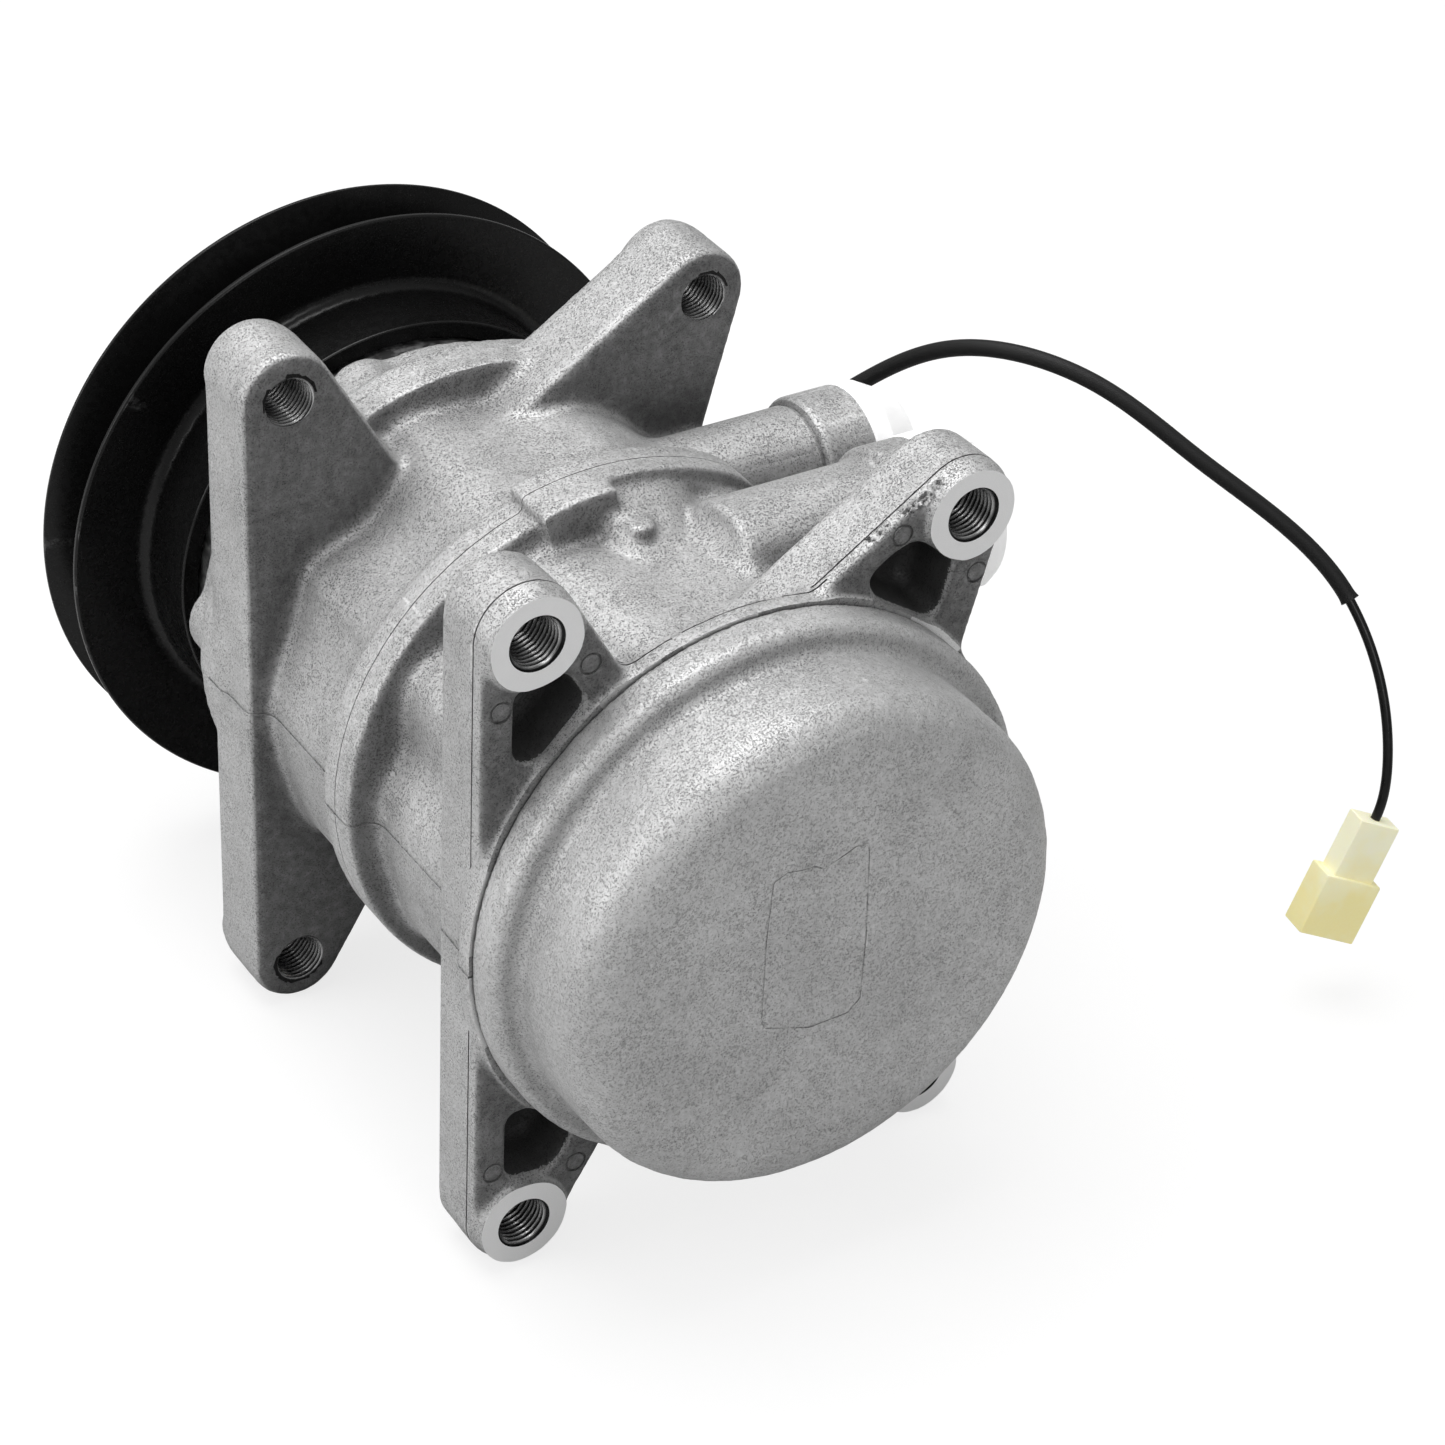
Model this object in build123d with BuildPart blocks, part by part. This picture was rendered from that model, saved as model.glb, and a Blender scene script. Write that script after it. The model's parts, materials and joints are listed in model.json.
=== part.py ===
from build123d import *
import os
from collections import namedtuple
from math import sin, cos, atan2, radians, pi

# Double-ended swash-plate compressor with five bores, a belt pulley and a magnetic clutch.
# Frame: origin on the shaft axis, in the plane of the rear mounting bosses.
# +Y runs along the shaft to the pulley, +X to the refrigerant ports, +Z up. Millimetres.
# Names ending in _Y are places along the shaft, _R radii, _PR pitch radii, _T thicknesses.

os.makedirs("parts", exist_ok=True)

# ---------------------------------------------------------------- driving dimensions
# mounting ears
MOUNT_X = 100.0         # spacing of the tapped bosses across
MOUNT_Z = 144.0         # spacing of the tapped bosses up the body
EAR_R = 11.0            # round end of every ear
BOSS_R = 10.0           # machined boss on each ear
TAP_R = 5.3             # wall of the M12 x 1.25 tapped hole
TAP_CHAMFER = 0.25
REAR_BOSS_Y = 0.0
REAR_EAR_Y0, REAR_EAR_Y1 = 2.0, 18.0
FRONT_BOSS_Y = 121.5

# joints between the castings
REAR_SEAM = 0.6
MID_SEAM = 62.0
FRONT_SEAM = 120.2
FRONT_EAR_Y0, FRONT_EAR_Y1 = 102.2, FRONT_SEAM

# valve stack at each end: suction reed on the block, then valve plate, then head gasket
REED_T = 0.4
VALVE_PLATE_T = 3.0
GASKET_T = 0.6
DISCHARGE_REED_T = 0.3
RETAINER_T = 1.3
REAR_PLATE_Y = REAR_SEAM - REED_T - VALVE_PLATE_T       # cover side of the rear plate
REAR_SEAT = REAR_PLATE_Y - GASKET_T
FRONT_PLATE_Y = FRONT_SEAM + REED_T                     # block side of the front plate
FRONT_GASKET_Y = FRONT_PLATE_Y + VALVE_PLATE_T
HEAD_SEAT = FRONT_GASKET_Y + GASKET_T

# chambers in the rear cover and the front head
SEAT_R = 58.4           # recess that holds the valve stack
STACK_R = SEAT_R - 0.2
CHAMBER_R = 51.0        # outer chamber, outside and inside
CHAMBER_INNER_R = 31.0
CORE_R = 27.5           # inner chamber
FRONT_CORE_INNER_R = 17.8
GASKET_GAP = 0.2        # gasket edges stand back from the chambers

# cylinder blocks
BODY_R = 50.5           # block body between the lobes
BORE_N = 5
STEP = 360.0 / BORE_N
BORE_PR = 36.0
BORE_R = 14.5
BORE_LOBE_R = 20.8
BOLT_PR = 49.0
BOLT_LOBE_R = 7.5
BOLT_HOLE_R = 3.4
BOLT_R = 3.0
BOLT_HEAD_Y = 133.0
BOLT_HEAD_T = 5.8
MID_RING_R = 61.3
FRONT_RING_T = 5.8      # parting ring on the front block
REAR_FLANGE_R = 63.6
FRONT_FLANGE_R = 62.0
LUG_R = 64.6            # raised parts of the parting ring
LUG_INNER_R = 46.0
FRONT_PASSAGE_R = 10.4  # shaft hole in front block and head
SEAL_GROOVE_R0, SEAL_GROOVE_R1 = 56.8, 59.0
SEAL_GROOVE_DEPTH = 1.9

# swash mechanism, symmetric about SWASH_Y
SWASH_Y = 60.4          # centre of the swash plate
AMPLITUDE = 7.0         # half of the piston stroke
TILT = atan2(AMPLITUDE, BORE_PR)
SWASH_R = 43.8
SWASH_T = 8.0
SWASH_HUB_HALF = 13.0
SWASH_CHAMBER_R = 45.2
SWASH_CHAMBER_HALF = 13.6
THRUST_T = 5.2
THRUST_RECESS_R = 20.6
REAR_THRUST_Y = SWASH_Y - SWASH_HUB_HALF - THRUST_T
FRONT_THRUST_Y = SWASH_Y + SWASH_HUB_HALF
NEEDLE_SEAT_R = 13.0
NEEDLE_SEAT_FAR = 48.4  # far end of each needle bearing seat, from SWASH_Y
NEEDLE_FAR = 46.4       # far and near ends of each needle bearing, from SWASH_Y
NEEDLE_NEAR = 26.4
WINDOW = 22.5           # half length of a piston's window
BRIDGE_X = 9.4          # radial offset of the bridge left beside the window
SHOE_R = 7.0
SHOE_FACE = 20.6        # sphere centre of a shoe, from the piston's middle
PISTON_R = 14.45
PISTON_HALF = 52.3

# shaft
SHAFT_R = 9.0
NOSE_SHAFT_R = 8.0
HUB_SEAT_R = 7.0
THREAD_R = 5.0
SHAFT_STEP_Y = 167.6    # shoulder that carries the clutch shim
SHIM_T = 0.6
NUT_Y = 188.0
WASHER_T = 0.2

# front head and nose
HEAD_FACE = 139.0
HEAD_BOSS_R = 20.4
NOSE_R = 17.5
NOSE_Y = 152.0          # step from boss to nose, where the pulley bearing starts
NOSE_END = 177.0
SEAL_BORE_R = 14.4

# clutch
RIM_R = 74.0            # pulley rims
RIM_Y0, RIM_Y1 = 163.3, 181.2
GROOVE_R = 60.2
ROTOR_R = 55.0
ROTOR_Y0, ROTOR_Y1 = 148.0, 180.5
AIR_GAP = 0.5
ARMATURE_Y0 = ROTOR_Y1 + AIR_GAP
ARMATURE_T = 4.0
SPRING_Y = ARMATURE_Y0 + ARMATURE_T
SPRING_T = 0.7
HUB_Y = SPRING_Y + SPRING_T
HUB_BOSS_R = 11.0
HUB_FLANGE_R = 19.0
HUB_FLANGE_T = 2.2

# coil lead
LEAD_Y, LEAD_Z = 145.6, 4.0
LEAD_R = 1.15
LEAD_HOLE_R = LEAD_R + 0.15     # in the sleeve and the connector
OUTLET_R = 1.9                  # lead outlet in the coil

# root_x and collar_x are where tube and collar start; both end at end_x.
# mouth_r is the counterbore, bore_r the bore behind it, cap_flat the cap's straight part.
Port = namedtuple("Port", "y z tube_r collar_r root_x collar_x end_x mouth_r bore_r cap_flat")
SUCTION = Port(y=39.0, z=45.8, tube_r=16.0, collar_r=18.0, root_x=16.0, collar_x=54.5,
               end_x=64.5, mouth_r=13.0, bore_r=9.5, cap_flat=9.6)
DISCHARGE = Port(y=85.0, z=34.8, tube_r=13.8, collar_r=15.4, root_x=24.0, collar_x=65.6,
                 end_x=77.8, mouth_r=11.0, bore_r=7.5, cap_flat=4.6)
PORT_MOUTH = 8.0        # depth of the counterbore
PORT_DEPTH = 30.0       # depth of the bore, from the port's end
CAP_PLUG = 7.0
CAP_LENGTH = 12.6

SnapRing = namedtuple("SnapRing", "y inner_r outer_r thickness gap_angle")
SEAL_RING = SnapRing(138.2, 12.2, 15.6, 1.4, 90)
BEARING_RING = SnapRing(172.2, 16.5, 19.6, 1.6, 90)
COIL_RING = SnapRing(141.2, 19.2, 23.0, 1.6, 200)

# ear outlines, (x, z)
# left (-X) ears and the slab that joins them
LEFT = [(-61.0, 72.0), (-40.5, 77.6), (-25.0, 51.5),
        (-25.0, -51.5), (-40.5, -77.6), (-61.0, -72.0)]
# upper right (+X) ear; the lower one mirrors it
RIGHT = [(44.0, 81.2), (-2.0, 50.6), (14.0, 16.0), (46.5, 16.0), (60.6, 69.2)]
# cored pockets in the upper rear ears; the lower ones mirror them
POCKET_L = [(-53.2, 60.6), (-41.8, 61.6), (-37.2, 54.0), (-47.6, 43.4), (-53.2, 43.4)]
POCKET_R = [(27.2, 62.2), (29.4, 57.4), (44.8, 47.4), (48.2, 61.0), (38.4, 68.0), (33.0, 66.2)]

CORNERS = [(sx * MOUNT_X / 2, sz * MOUNT_Z / 2) for sx in (-1, 1) for sz in (-1, 1)]


# ---------------------------------------------------------------- helpers
def flip(points):
    """Mirror an (x, z) outline top to bottom."""
    return [(x, -z) for x, z in points]


EARS = (LEFT, RIGHT, flip(RIGHT))
POCKETS = (POCKET_L, flip(POCKET_L), POCKET_R, flip(POCKET_R))


def station(y):
    """Plane square to the shaft at y. Its local axes are X and Z; extruding by -t goes to +Y."""
    return Plane.XZ.offset(-y)


def across(x):
    """Plane square to X. Its local axes are Y and Z; extruding by +t goes to +X."""
    return Plane.YZ.offset(x)


def save(part, name):
    part.part.label = name
    export_step(part.part, "parts/" + name + ".step")


def circle_edges(part, y, radius):
    """Circular edges of a part at station y with the given radius."""
    return part.edges().filter_by(GeomType.CIRCLE).filter_by(
        lambda edge: abs(edge.center().Y - y) < 0.01 and abs(edge.radius - radius) < 0.01)


# The helpers below draw into the sketch that is open where they are called.
def annulus(outer_r, inner_r):
    Circle(outer_r)
    Circle(inner_r, mode=Mode.SUBTRACT)


def circle_ring(pitch_r, radius, count=BORE_N, start=0.0, mode=Mode.ADD):
    with PolarLocations(pitch_r, count, start_angle=start):
        Circle(radius, mode=mode)


def bolt_circles(radius, mode=Mode.ADD):
    """One circle on each through bolt, midway between the bores."""
    circle_ring(BOLT_PR, radius, start=STEP / 2, mode=mode)


def corner_circles(radius):
    with Locations(*CORNERS):
        Circle(radius)


def port_circle(port, radius):
    with Locations((port.y, port.z)):
        Circle(radius)


def outer_chamber(pillar_r):
    """Ring chamber that leaves a pillar round each bolt."""
    annulus(CHAMBER_R, CHAMBER_INNER_R)
    bolt_circles(pillar_r, Mode.SUBTRACT)


def block_section():
    Circle(BODY_R)
    circle_ring(BORE_PR, BORE_LOBE_R)
    bolt_circles(BOLT_LOBE_R)


def turned(profile):
    """Solid turned about the shaft axis from an (r, y) profile."""
    with BuildPart() as part:
        with BuildSketch(Plane.XY):
            with BuildLine():
                Polyline(*profile, close=True)
            make_face()
        revolve(axis=Axis.Y)
    return part


# ================================================================ rear cover
COVER_END = -32.0
COVER_R = 57.0
COVER_ROOT = (57.3, -8.6)       # (r, y) where the wall meets the flange
COVER_FLANGE = (63.0, -8.0)     # (r, y) of the flange's rear corner
CHAMBER_DEPTH = 22.6

with BuildPart() as rear_cover:
    with BuildSketch(Plane.XY):
        with BuildLine():
            Polyline((0, COVER_END), (COVER_R, COVER_END), COVER_ROOT, COVER_FLANGE,
                     (COVER_FLANGE[0], REAR_SEAM), (SEAT_R, REAR_SEAM), (SEAT_R, REAR_SEAT),
                     (0, REAR_SEAT), close=True)
        make_face()
    revolve(axis=Axis.Y)
    for (edge_r, edge_y), fillet_r in (((COVER_R, COVER_END), 9), (COVER_FLANGE, 3),
                                       (COVER_ROOT, 2.5)):
        fillet(circle_edges(rear_cover, edge_y, edge_r), radius=fillet_r)
    # suction chamber round the outside, discharge chamber inside it
    with BuildSketch(station(REAR_SEAT)):
        outer_chamber(pillar_r=7)
    extrude(amount=CHAMBER_DEPTH, mode=Mode.SUBTRACT)
    with BuildSketch(station(REAR_SEAT)):
        Circle(CORE_R)
    extrude(amount=CHAMBER_DEPTH, mode=Mode.SUBTRACT)
    # bolt holes
    with BuildSketch(station(REAR_SEAT)):
        bolt_circles(BOLT_R)
    extrude(amount=15, mode=Mode.SUBTRACT)
    # faint cast recess on the end face
    with BuildSketch(station(COVER_END)):
        with Locations((-3.8, 6.0)):
            RectangleRounded(24.4, 41, 1.5)
    extrude(amount=-0.12, mode=Mode.SUBTRACT)
save(rear_cover, "rear_cover")

# ================================================================ cylinder blocks
# raised parts of the parting ring: start angle and sweep, from +X towards +Z
LUG_ARC = (88, 18.5)
HIGH_ARC = (62, 44.5)

with BuildPart() as rear_cylinder_block:
    with BuildSketch(station(REAR_SEAM)):
        block_section()
    extrude(amount=REAR_SEAM - MID_SEAM)
    # flange at the rear, parting ring at the front
    for y, radius, length in ((REAR_SEAM, REAR_FLANGE_R, 4.6),
                              (55.5, MID_RING_R, MID_SEAM - 55.5)):
        with BuildSketch(station(y)):
            Circle(radius)
        extrude(amount=-length)
    # raised lug, then the band that stands higher from the lug round to the ports
    for y, arc in ((50.6, LUG_ARC), (56.5, HIGH_ARC)):
        with BuildSketch(station(y)):
            with BuildLine():
                outer = CenterArc((0, 0), LUG_R, *arc)
                inner = CenterArc((0, 0), LUG_INNER_R, *arc)
                Line(outer @ 0, inner @ 0)
                Line(outer @ 1, inner @ 1)
            make_face()
        extrude(amount=y - MID_SEAM)
    # ears and their bosses
    for outline in EARS:
        with BuildSketch(station(REAR_EAR_Y0)):
            with BuildLine():
                Polyline(*outline, close=True)
            make_face()
        extrude(amount=REAR_EAR_Y0 - REAR_EAR_Y1)
    for y0, y1, radius in ((REAR_EAR_Y0, REAR_EAR_Y1, EAR_R),
                           (REAR_BOSS_Y, REAR_EAR_Y0, BOSS_R)):
        with BuildSketch(station(y0)):
            corner_circles(radius)
        extrude(amount=y0 - y1)
    # small round bump on top, behind the lug
    with BuildSketch(Plane.XY.offset(50)):
        with Locations((0, 44.6)):
            Circle(3.0)
    extrude(amount=7.4)
    # suction port tube and collar
    for x, radius in ((SUCTION.root_x, SUCTION.tube_r), (SUCTION.collar_x, SUCTION.collar_r)):
        with BuildSketch(across(x)):
            port_circle(SUCTION, radius)
        extrude(amount=SUCTION.end_x - x)
    # cored pockets
    for outline in POCKETS:
        with BuildSketch(station(REAR_EAR_Y0)) as pocket:
            with BuildLine():
                Polyline(*outline, close=True)
            make_face()
            fillet(pocket.vertices(), radius=1.8)
        extrude(amount=-13, mode=Mode.SUBTRACT)
    # bores and bolt holes
    with BuildSketch(station(REAR_SEAM)):
        circle_ring(BORE_PR, BORE_R)
        bolt_circles(BOLT_HOLE_R)
    extrude(amount=REAR_SEAM - MID_SEAM, mode=Mode.SUBTRACT)
    # shaft passage, bearing seat, thrust recess, swash chamber
    for y, radius, length in ((REAR_SEAM, 9.6, 30),
                              (SWASH_Y - NEEDLE_SEAT_FAR, NEEDLE_SEAT_R, 40),
                              (REAR_THRUST_Y, THRUST_RECESS_R, 20),
                              (SWASH_Y - SWASH_CHAMBER_HALF, SWASH_CHAMBER_R, 20)):
        with BuildSketch(station(y)):
            Circle(radius)
        extrude(amount=-length, mode=Mode.SUBTRACT)
    # seal ring groove in the parting face
    with BuildSketch(station(MID_SEAM - SEAL_GROOVE_DEPTH)):
        annulus(SEAL_GROOVE_R1, SEAL_GROOVE_R0)
    extrude(amount=-SEAL_GROOVE_DEPTH, mode=Mode.SUBTRACT)
    # suction port bore
    for radius, depth in ((SUCTION.mouth_r, PORT_MOUTH), (SUCTION.bore_r, PORT_DEPTH)):
        with BuildSketch(across(SUCTION.end_x)):
            port_circle(SUCTION, radius)
        extrude(amount=-depth, mode=Mode.SUBTRACT)
    # tapped mounting holes
    with BuildSketch(station(REAR_BOSS_Y)):
        corner_circles(TAP_R)
    extrude(amount=REAR_BOSS_Y - REAR_EAR_Y1, mode=Mode.SUBTRACT)
    chamfer(circle_edges(rear_cylinder_block, REAR_BOSS_Y, TAP_R), length=TAP_CHAMFER)
save(rear_cylinder_block, "rear_cylinder_block")

with BuildPart() as front_cylinder_block:
    with BuildSketch(station(MID_SEAM)):
        block_section()
    extrude(amount=MID_SEAM - FRONT_SEAM)
    # parting ring at the rear, flange at the front
    for y, radius, length in ((MID_SEAM, MID_RING_R, FRONT_RING_T),
                              (114.1, FRONT_FLANGE_R, FRONT_SEAM - 114.1)):
        with BuildSketch(station(y)):
            Circle(radius)
        extrude(amount=-length)
    # higher band, continued from the rear block
    with BuildSketch(station(MID_SEAM)):
        with BuildLine():
            outer = CenterArc((0, 0), LUG_R, *HIGH_ARC)
            inner = CenterArc((0, 0), LUG_INNER_R, *HIGH_ARC)
            Line(outer @ 0, inner @ 0)
            Line(outer @ 1, inner @ 1)
        make_face()
    extrude(amount=-FRONT_RING_T)
    # ears and their bosses
    for outline in EARS:
        with BuildSketch(station(FRONT_EAR_Y0)):
            with BuildLine():
                Polyline(*outline, close=True)
            make_face()
        extrude(amount=FRONT_EAR_Y0 - FRONT_EAR_Y1)
    for y0, y1, radius in ((FRONT_EAR_Y0, FRONT_EAR_Y1, EAR_R),
                           (FRONT_EAR_Y1, FRONT_BOSS_Y, BOSS_R)):
        with BuildSketch(station(y0)):
            corner_circles(radius)
        extrude(amount=y0 - y1)
    # discharge port tube and collar
    for x, radius in ((DISCHARGE.root_x, DISCHARGE.tube_r),
                      (DISCHARGE.collar_x, DISCHARGE.collar_r)):
        with BuildSketch(across(x)):
            port_circle(DISCHARGE, radius)
        extrude(amount=DISCHARGE.end_x - x)
    # bores and bolt holes
    with BuildSketch(station(MID_SEAM)):
        circle_ring(BORE_PR, BORE_R)
        bolt_circles(BOLT_HOLE_R)
    extrude(amount=MID_SEAM - FRONT_SEAM, mode=Mode.SUBTRACT)
    # shaft passage, bearing seat, thrust recess, swash chamber
    for radius, end_y in ((FRONT_PASSAGE_R, FRONT_SEAM),
                          (NEEDLE_SEAT_R, SWASH_Y + NEEDLE_SEAT_FAR),
                          (THRUST_RECESS_R, FRONT_THRUST_Y + THRUST_T),
                          (SWASH_CHAMBER_R, SWASH_Y + SWASH_CHAMBER_HALF)):
        with BuildSketch(station(MID_SEAM)):
            Circle(radius)
        extrude(amount=MID_SEAM - end_y, mode=Mode.SUBTRACT)
    # discharge port bore
    for radius, depth in ((DISCHARGE.mouth_r, PORT_MOUTH), (DISCHARGE.bore_r, PORT_DEPTH)):
        with BuildSketch(across(DISCHARGE.end_x)):
            port_circle(DISCHARGE, radius)
        extrude(amount=-depth, mode=Mode.SUBTRACT)
    # tapped mounting holes
    with BuildSketch(station(FRONT_EAR_Y0)):
        corner_circles(TAP_R)
    extrude(amount=FRONT_EAR_Y0 - FRONT_BOSS_Y, mode=Mode.SUBTRACT)
    chamfer(circle_edges(front_cylinder_block, FRONT_BOSS_Y, TAP_R), length=TAP_CHAMFER)
save(front_cylinder_block, "front_cylinder_block")

# ================================================================ front head
HEAD_CHAMBER_DEPTH = 9.8

with BuildPart() as front_head:
    with BuildSketch(station(FRONT_SEAM)):
        Circle(FRONT_FLANGE_R)
    extrude(amount=-5.1)
    with BuildSketch(station(FRONT_SEAM)):
        Circle(55.6)
        bolt_circles(9.6)
    extrude(amount=FRONT_SEAM - HEAD_FACE)
    fillet(front_head.faces().sort_by(Axis.Y)[-1].edges(), radius=1.8)
    # boss and nose
    for y0, y1, radius in ((HEAD_FACE, NOSE_Y, HEAD_BOSS_R), (NOSE_Y, NOSE_END, NOSE_R)):
        with BuildSketch(station(y0)):
            Circle(radius)
        extrude(amount=y0 - y1)
    # valve stack recess
    with BuildSketch(station(FRONT_SEAM)):
        Circle(SEAT_R)
    extrude(amount=FRONT_SEAM - HEAD_SEAT, mode=Mode.SUBTRACT)
    # outer and inner chambers
    with BuildSketch(station(HEAD_SEAT)):
        outer_chamber(pillar_r=7.4)
    extrude(amount=-HEAD_CHAMBER_DEPTH, mode=Mode.SUBTRACT)
    with BuildSketch(station(HEAD_SEAT)):
        annulus(CORE_R, FRONT_CORE_INNER_R)
    extrude(amount=-HEAD_CHAMBER_DEPTH, mode=Mode.SUBTRACT)
    # shaft passage, bore for the shaft seal, groove for its snap ring
    for y, radius, length in ((HEAD_SEAT, FRONT_PASSAGE_R, 20), (128.0, SEAL_BORE_R, 60),
                              (SEAL_RING.y, SEAL_RING.outer_r, SEAL_RING.thickness)):
        with BuildSketch(station(y)):
            Circle(radius)
        extrude(amount=-length, mode=Mode.SUBTRACT)
    # outside grooves for the bearing and coil snap rings
    for ring, surface_r in ((BEARING_RING, NOSE_R), (COIL_RING, HEAD_BOSS_R)):
        with BuildSketch(station(ring.y)):
            annulus(surface_r + 0.1, ring.inner_r)
        extrude(amount=-ring.thickness, mode=Mode.SUBTRACT)
    # through bolt holes and their counterbores
    for y, radius, length in ((FRONT_SEAM, BOLT_HOLE_R, 30), (BOLT_HEAD_Y, 5.6, 20)):
        with BuildSketch(station(y)):
            bolt_circles(radius)
        extrude(amount=-length, mode=Mode.SUBTRACT)
save(front_head, "front_head")

# ================================================================ valve plates, reeds, gaskets
SUCTION_HOLE_PR, DISCHARGE_HOLE_PR = 42.0, 24.6
REAR_CENTRE_R = 3.0             # centre hole of the rear plate, reeds and retainer
FRONT_CENTRE_R = 10.6           # centre hole of the front plate and suction reed


def plate_blank(centre_r):
    annulus(STACK_R, centre_r)
    bolt_circles(BOLT_HOLE_R, Mode.SUBTRACT)


def valve_plate(y, centre_r):
    with BuildPart() as plate:
        with BuildSketch(station(y)):
            plate_blank(centre_r)
            circle_ring(SUCTION_HOLE_PR, 4.0, mode=Mode.SUBTRACT)
            circle_ring(DISCHARGE_HOLE_PR, 2.2, mode=Mode.SUBTRACT)
        extrude(amount=-VALVE_PLATE_T)
    return plate


def suction_reed(y, centre_r):
    """Each tongue is freed by a slot on both sides and one across its tip."""
    with BuildPart() as reed:
        with BuildSketch(station(y)):
            plate_blank(centre_r)
            with PolarLocations(37.0, BORE_N):
                with Locations((0, 5.2), (0, -5.2)):
                    Rectangle(12, 0.8, mode=Mode.SUBTRACT)
                with Locations((6.4, 0)):
                    Rectangle(0.8, 11.2, mode=Mode.SUBTRACT)
            circle_ring(DISCHARGE_HOLE_PR, 2.4, mode=Mode.SUBTRACT)
        extrude(amount=-REED_T)
    return reed


save(valve_plate(REAR_PLATE_Y, REAR_CENTRE_R), "rear_valve_plate")
save(valve_plate(FRONT_PLATE_Y, FRONT_CENTRE_R), "front_valve_plate")
save(suction_reed(REAR_SEAM - REED_T, REAR_CENTRE_R), "rear_suction_reed")
save(suction_reed(FRONT_SEAM, FRONT_CENTRE_R), "front_suction_reed")

ARM_END_R = 26.5                # outer end of the star's straight arms
REED_ARM_W, RETAINER_ARM_W = 5.0, 6.0
# hub radius, arm length, centre hole radius
REAR_STAR = (15.5, 13.0, REAR_CENTRE_R)
FRONT_STAR = (21.0, 9.0, 18.2)


def star(y, thickness, arm_width, hub_r, arm_length, centre_r):
    """Five-armed discharge reed or retainer."""
    with BuildPart() as part:
        with BuildSketch(station(y)):
            Circle(hub_r)
            with PolarLocations(ARM_END_R - arm_length / 2, BORE_N):
                Rectangle(arm_length, arm_width)
            circle_ring(24.2, 3.1)
            Circle(centre_r, mode=Mode.SUBTRACT)
        extrude(amount=-thickness)
    return part


rear_reed_y = REAR_PLATE_Y - DISCHARGE_REED_T
save(star(rear_reed_y, DISCHARGE_REED_T, REED_ARM_W, *REAR_STAR), "rear_discharge_reed")
save(star(rear_reed_y - RETAINER_T, RETAINER_T, RETAINER_ARM_W, *REAR_STAR),
     "rear_reed_retainer")
save(star(FRONT_GASKET_Y, DISCHARGE_REED_T, REED_ARM_W, *FRONT_STAR), "front_discharge_reed")
save(star(FRONT_GASKET_Y + DISCHARGE_REED_T, RETAINER_T, RETAINER_ARM_W, *FRONT_STAR),
     "front_reed_retainer")

# inner gasket rings: outer and inner radius
WALL_RING = (CHAMBER_INNER_R - GASKET_GAP, CORE_R + GASKET_GAP)
SHAFT_RING = (FRONT_CORE_INNER_R - GASKET_GAP, 10.8)


def head_gasket(y, inner_rings):
    with BuildPart() as gasket:
        with BuildSketch(station(y)):
            annulus(STACK_R, CHAMBER_R + GASKET_GAP)
            bolt_circles(6.8)
            bolt_circles(BOLT_HOLE_R, Mode.SUBTRACT)
        extrude(amount=-GASKET_T)
        for radii in inner_rings:
            with BuildSketch(station(y)):
                annulus(*radii)
            extrude(amount=-GASKET_T)
    return gasket


save(head_gasket(REAR_SEAT, [WALL_RING]), "rear_head_gasket")
save(head_gasket(FRONT_GASKET_Y, [WALL_RING, SHAFT_RING]), "front_head_gasket")

with BuildPart() as block_seal_ring:
    with BuildSketch(Plane.XY):
        with Locations(((SEAL_GROOVE_R0 + SEAL_GROOVE_R1) / 2, MID_SEAM - SEAL_GROOVE_DEPTH / 2)):
            Circle(0.93)
    revolve(axis=Axis.Y)
save(block_seal_ring, "block_seal_ring")

# ================================================================ through bolts
BOLT_END_Y = -16.0

with BuildPart() as through_bolts:
    for y, radius, length in ((BOLT_END_Y, BOLT_R, BOLT_HEAD_Y - BOLT_END_Y),
                              (BOLT_HEAD_Y, 5.0, BOLT_HEAD_T)):
        with BuildSketch(station(y)):
            bolt_circles(radius)
        extrude(amount=-length)
    # hexagon sockets
    with BuildSketch(station(BOLT_HEAD_Y + BOLT_HEAD_T)):
        with PolarLocations(BOLT_PR, BORE_N, start_angle=STEP / 2):
            RegularPolygon(2.9, 6)
    extrude(amount=3.0, mode=Mode.SUBTRACT)
save(through_bolts, "through_bolts")


# ================================================================ shaft bearings
def needle_bearing(y0, y1):
    """Drawn cup with inturned lips and 18 needles."""
    lip_r, cup_r, lip_t = 9.4, 11.95, 1.0
    needle_inset = 1.4
    with BuildPart() as bearing:
        with BuildSketch(Plane.XY):
            with BuildLine():
                Polyline((NEEDLE_SEAT_R, y0), (NEEDLE_SEAT_R, y1), (lip_r, y1),
                         (lip_r, y1 - lip_t), (cup_r, y1 - lip_t), (cup_r, y0 + lip_t),
                         (lip_r, y0 + lip_t), (lip_r, y0), close=True)
            make_face()
        revolve(axis=Axis.Y)
        with BuildSketch(station(y0 + needle_inset)):
            circle_ring(10.46, 1.4, count=18)
        extrude(amount=-(y1 - y0 - 2 * needle_inset))
    return bearing


save(needle_bearing(SWASH_Y - NEEDLE_FAR, SWASH_Y - NEEDLE_NEAR), "rear_needle_bearing")
save(needle_bearing(SWASH_Y + NEEDLE_NEAR, SWASH_Y + NEEDLE_FAR), "front_needle_bearing")


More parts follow.
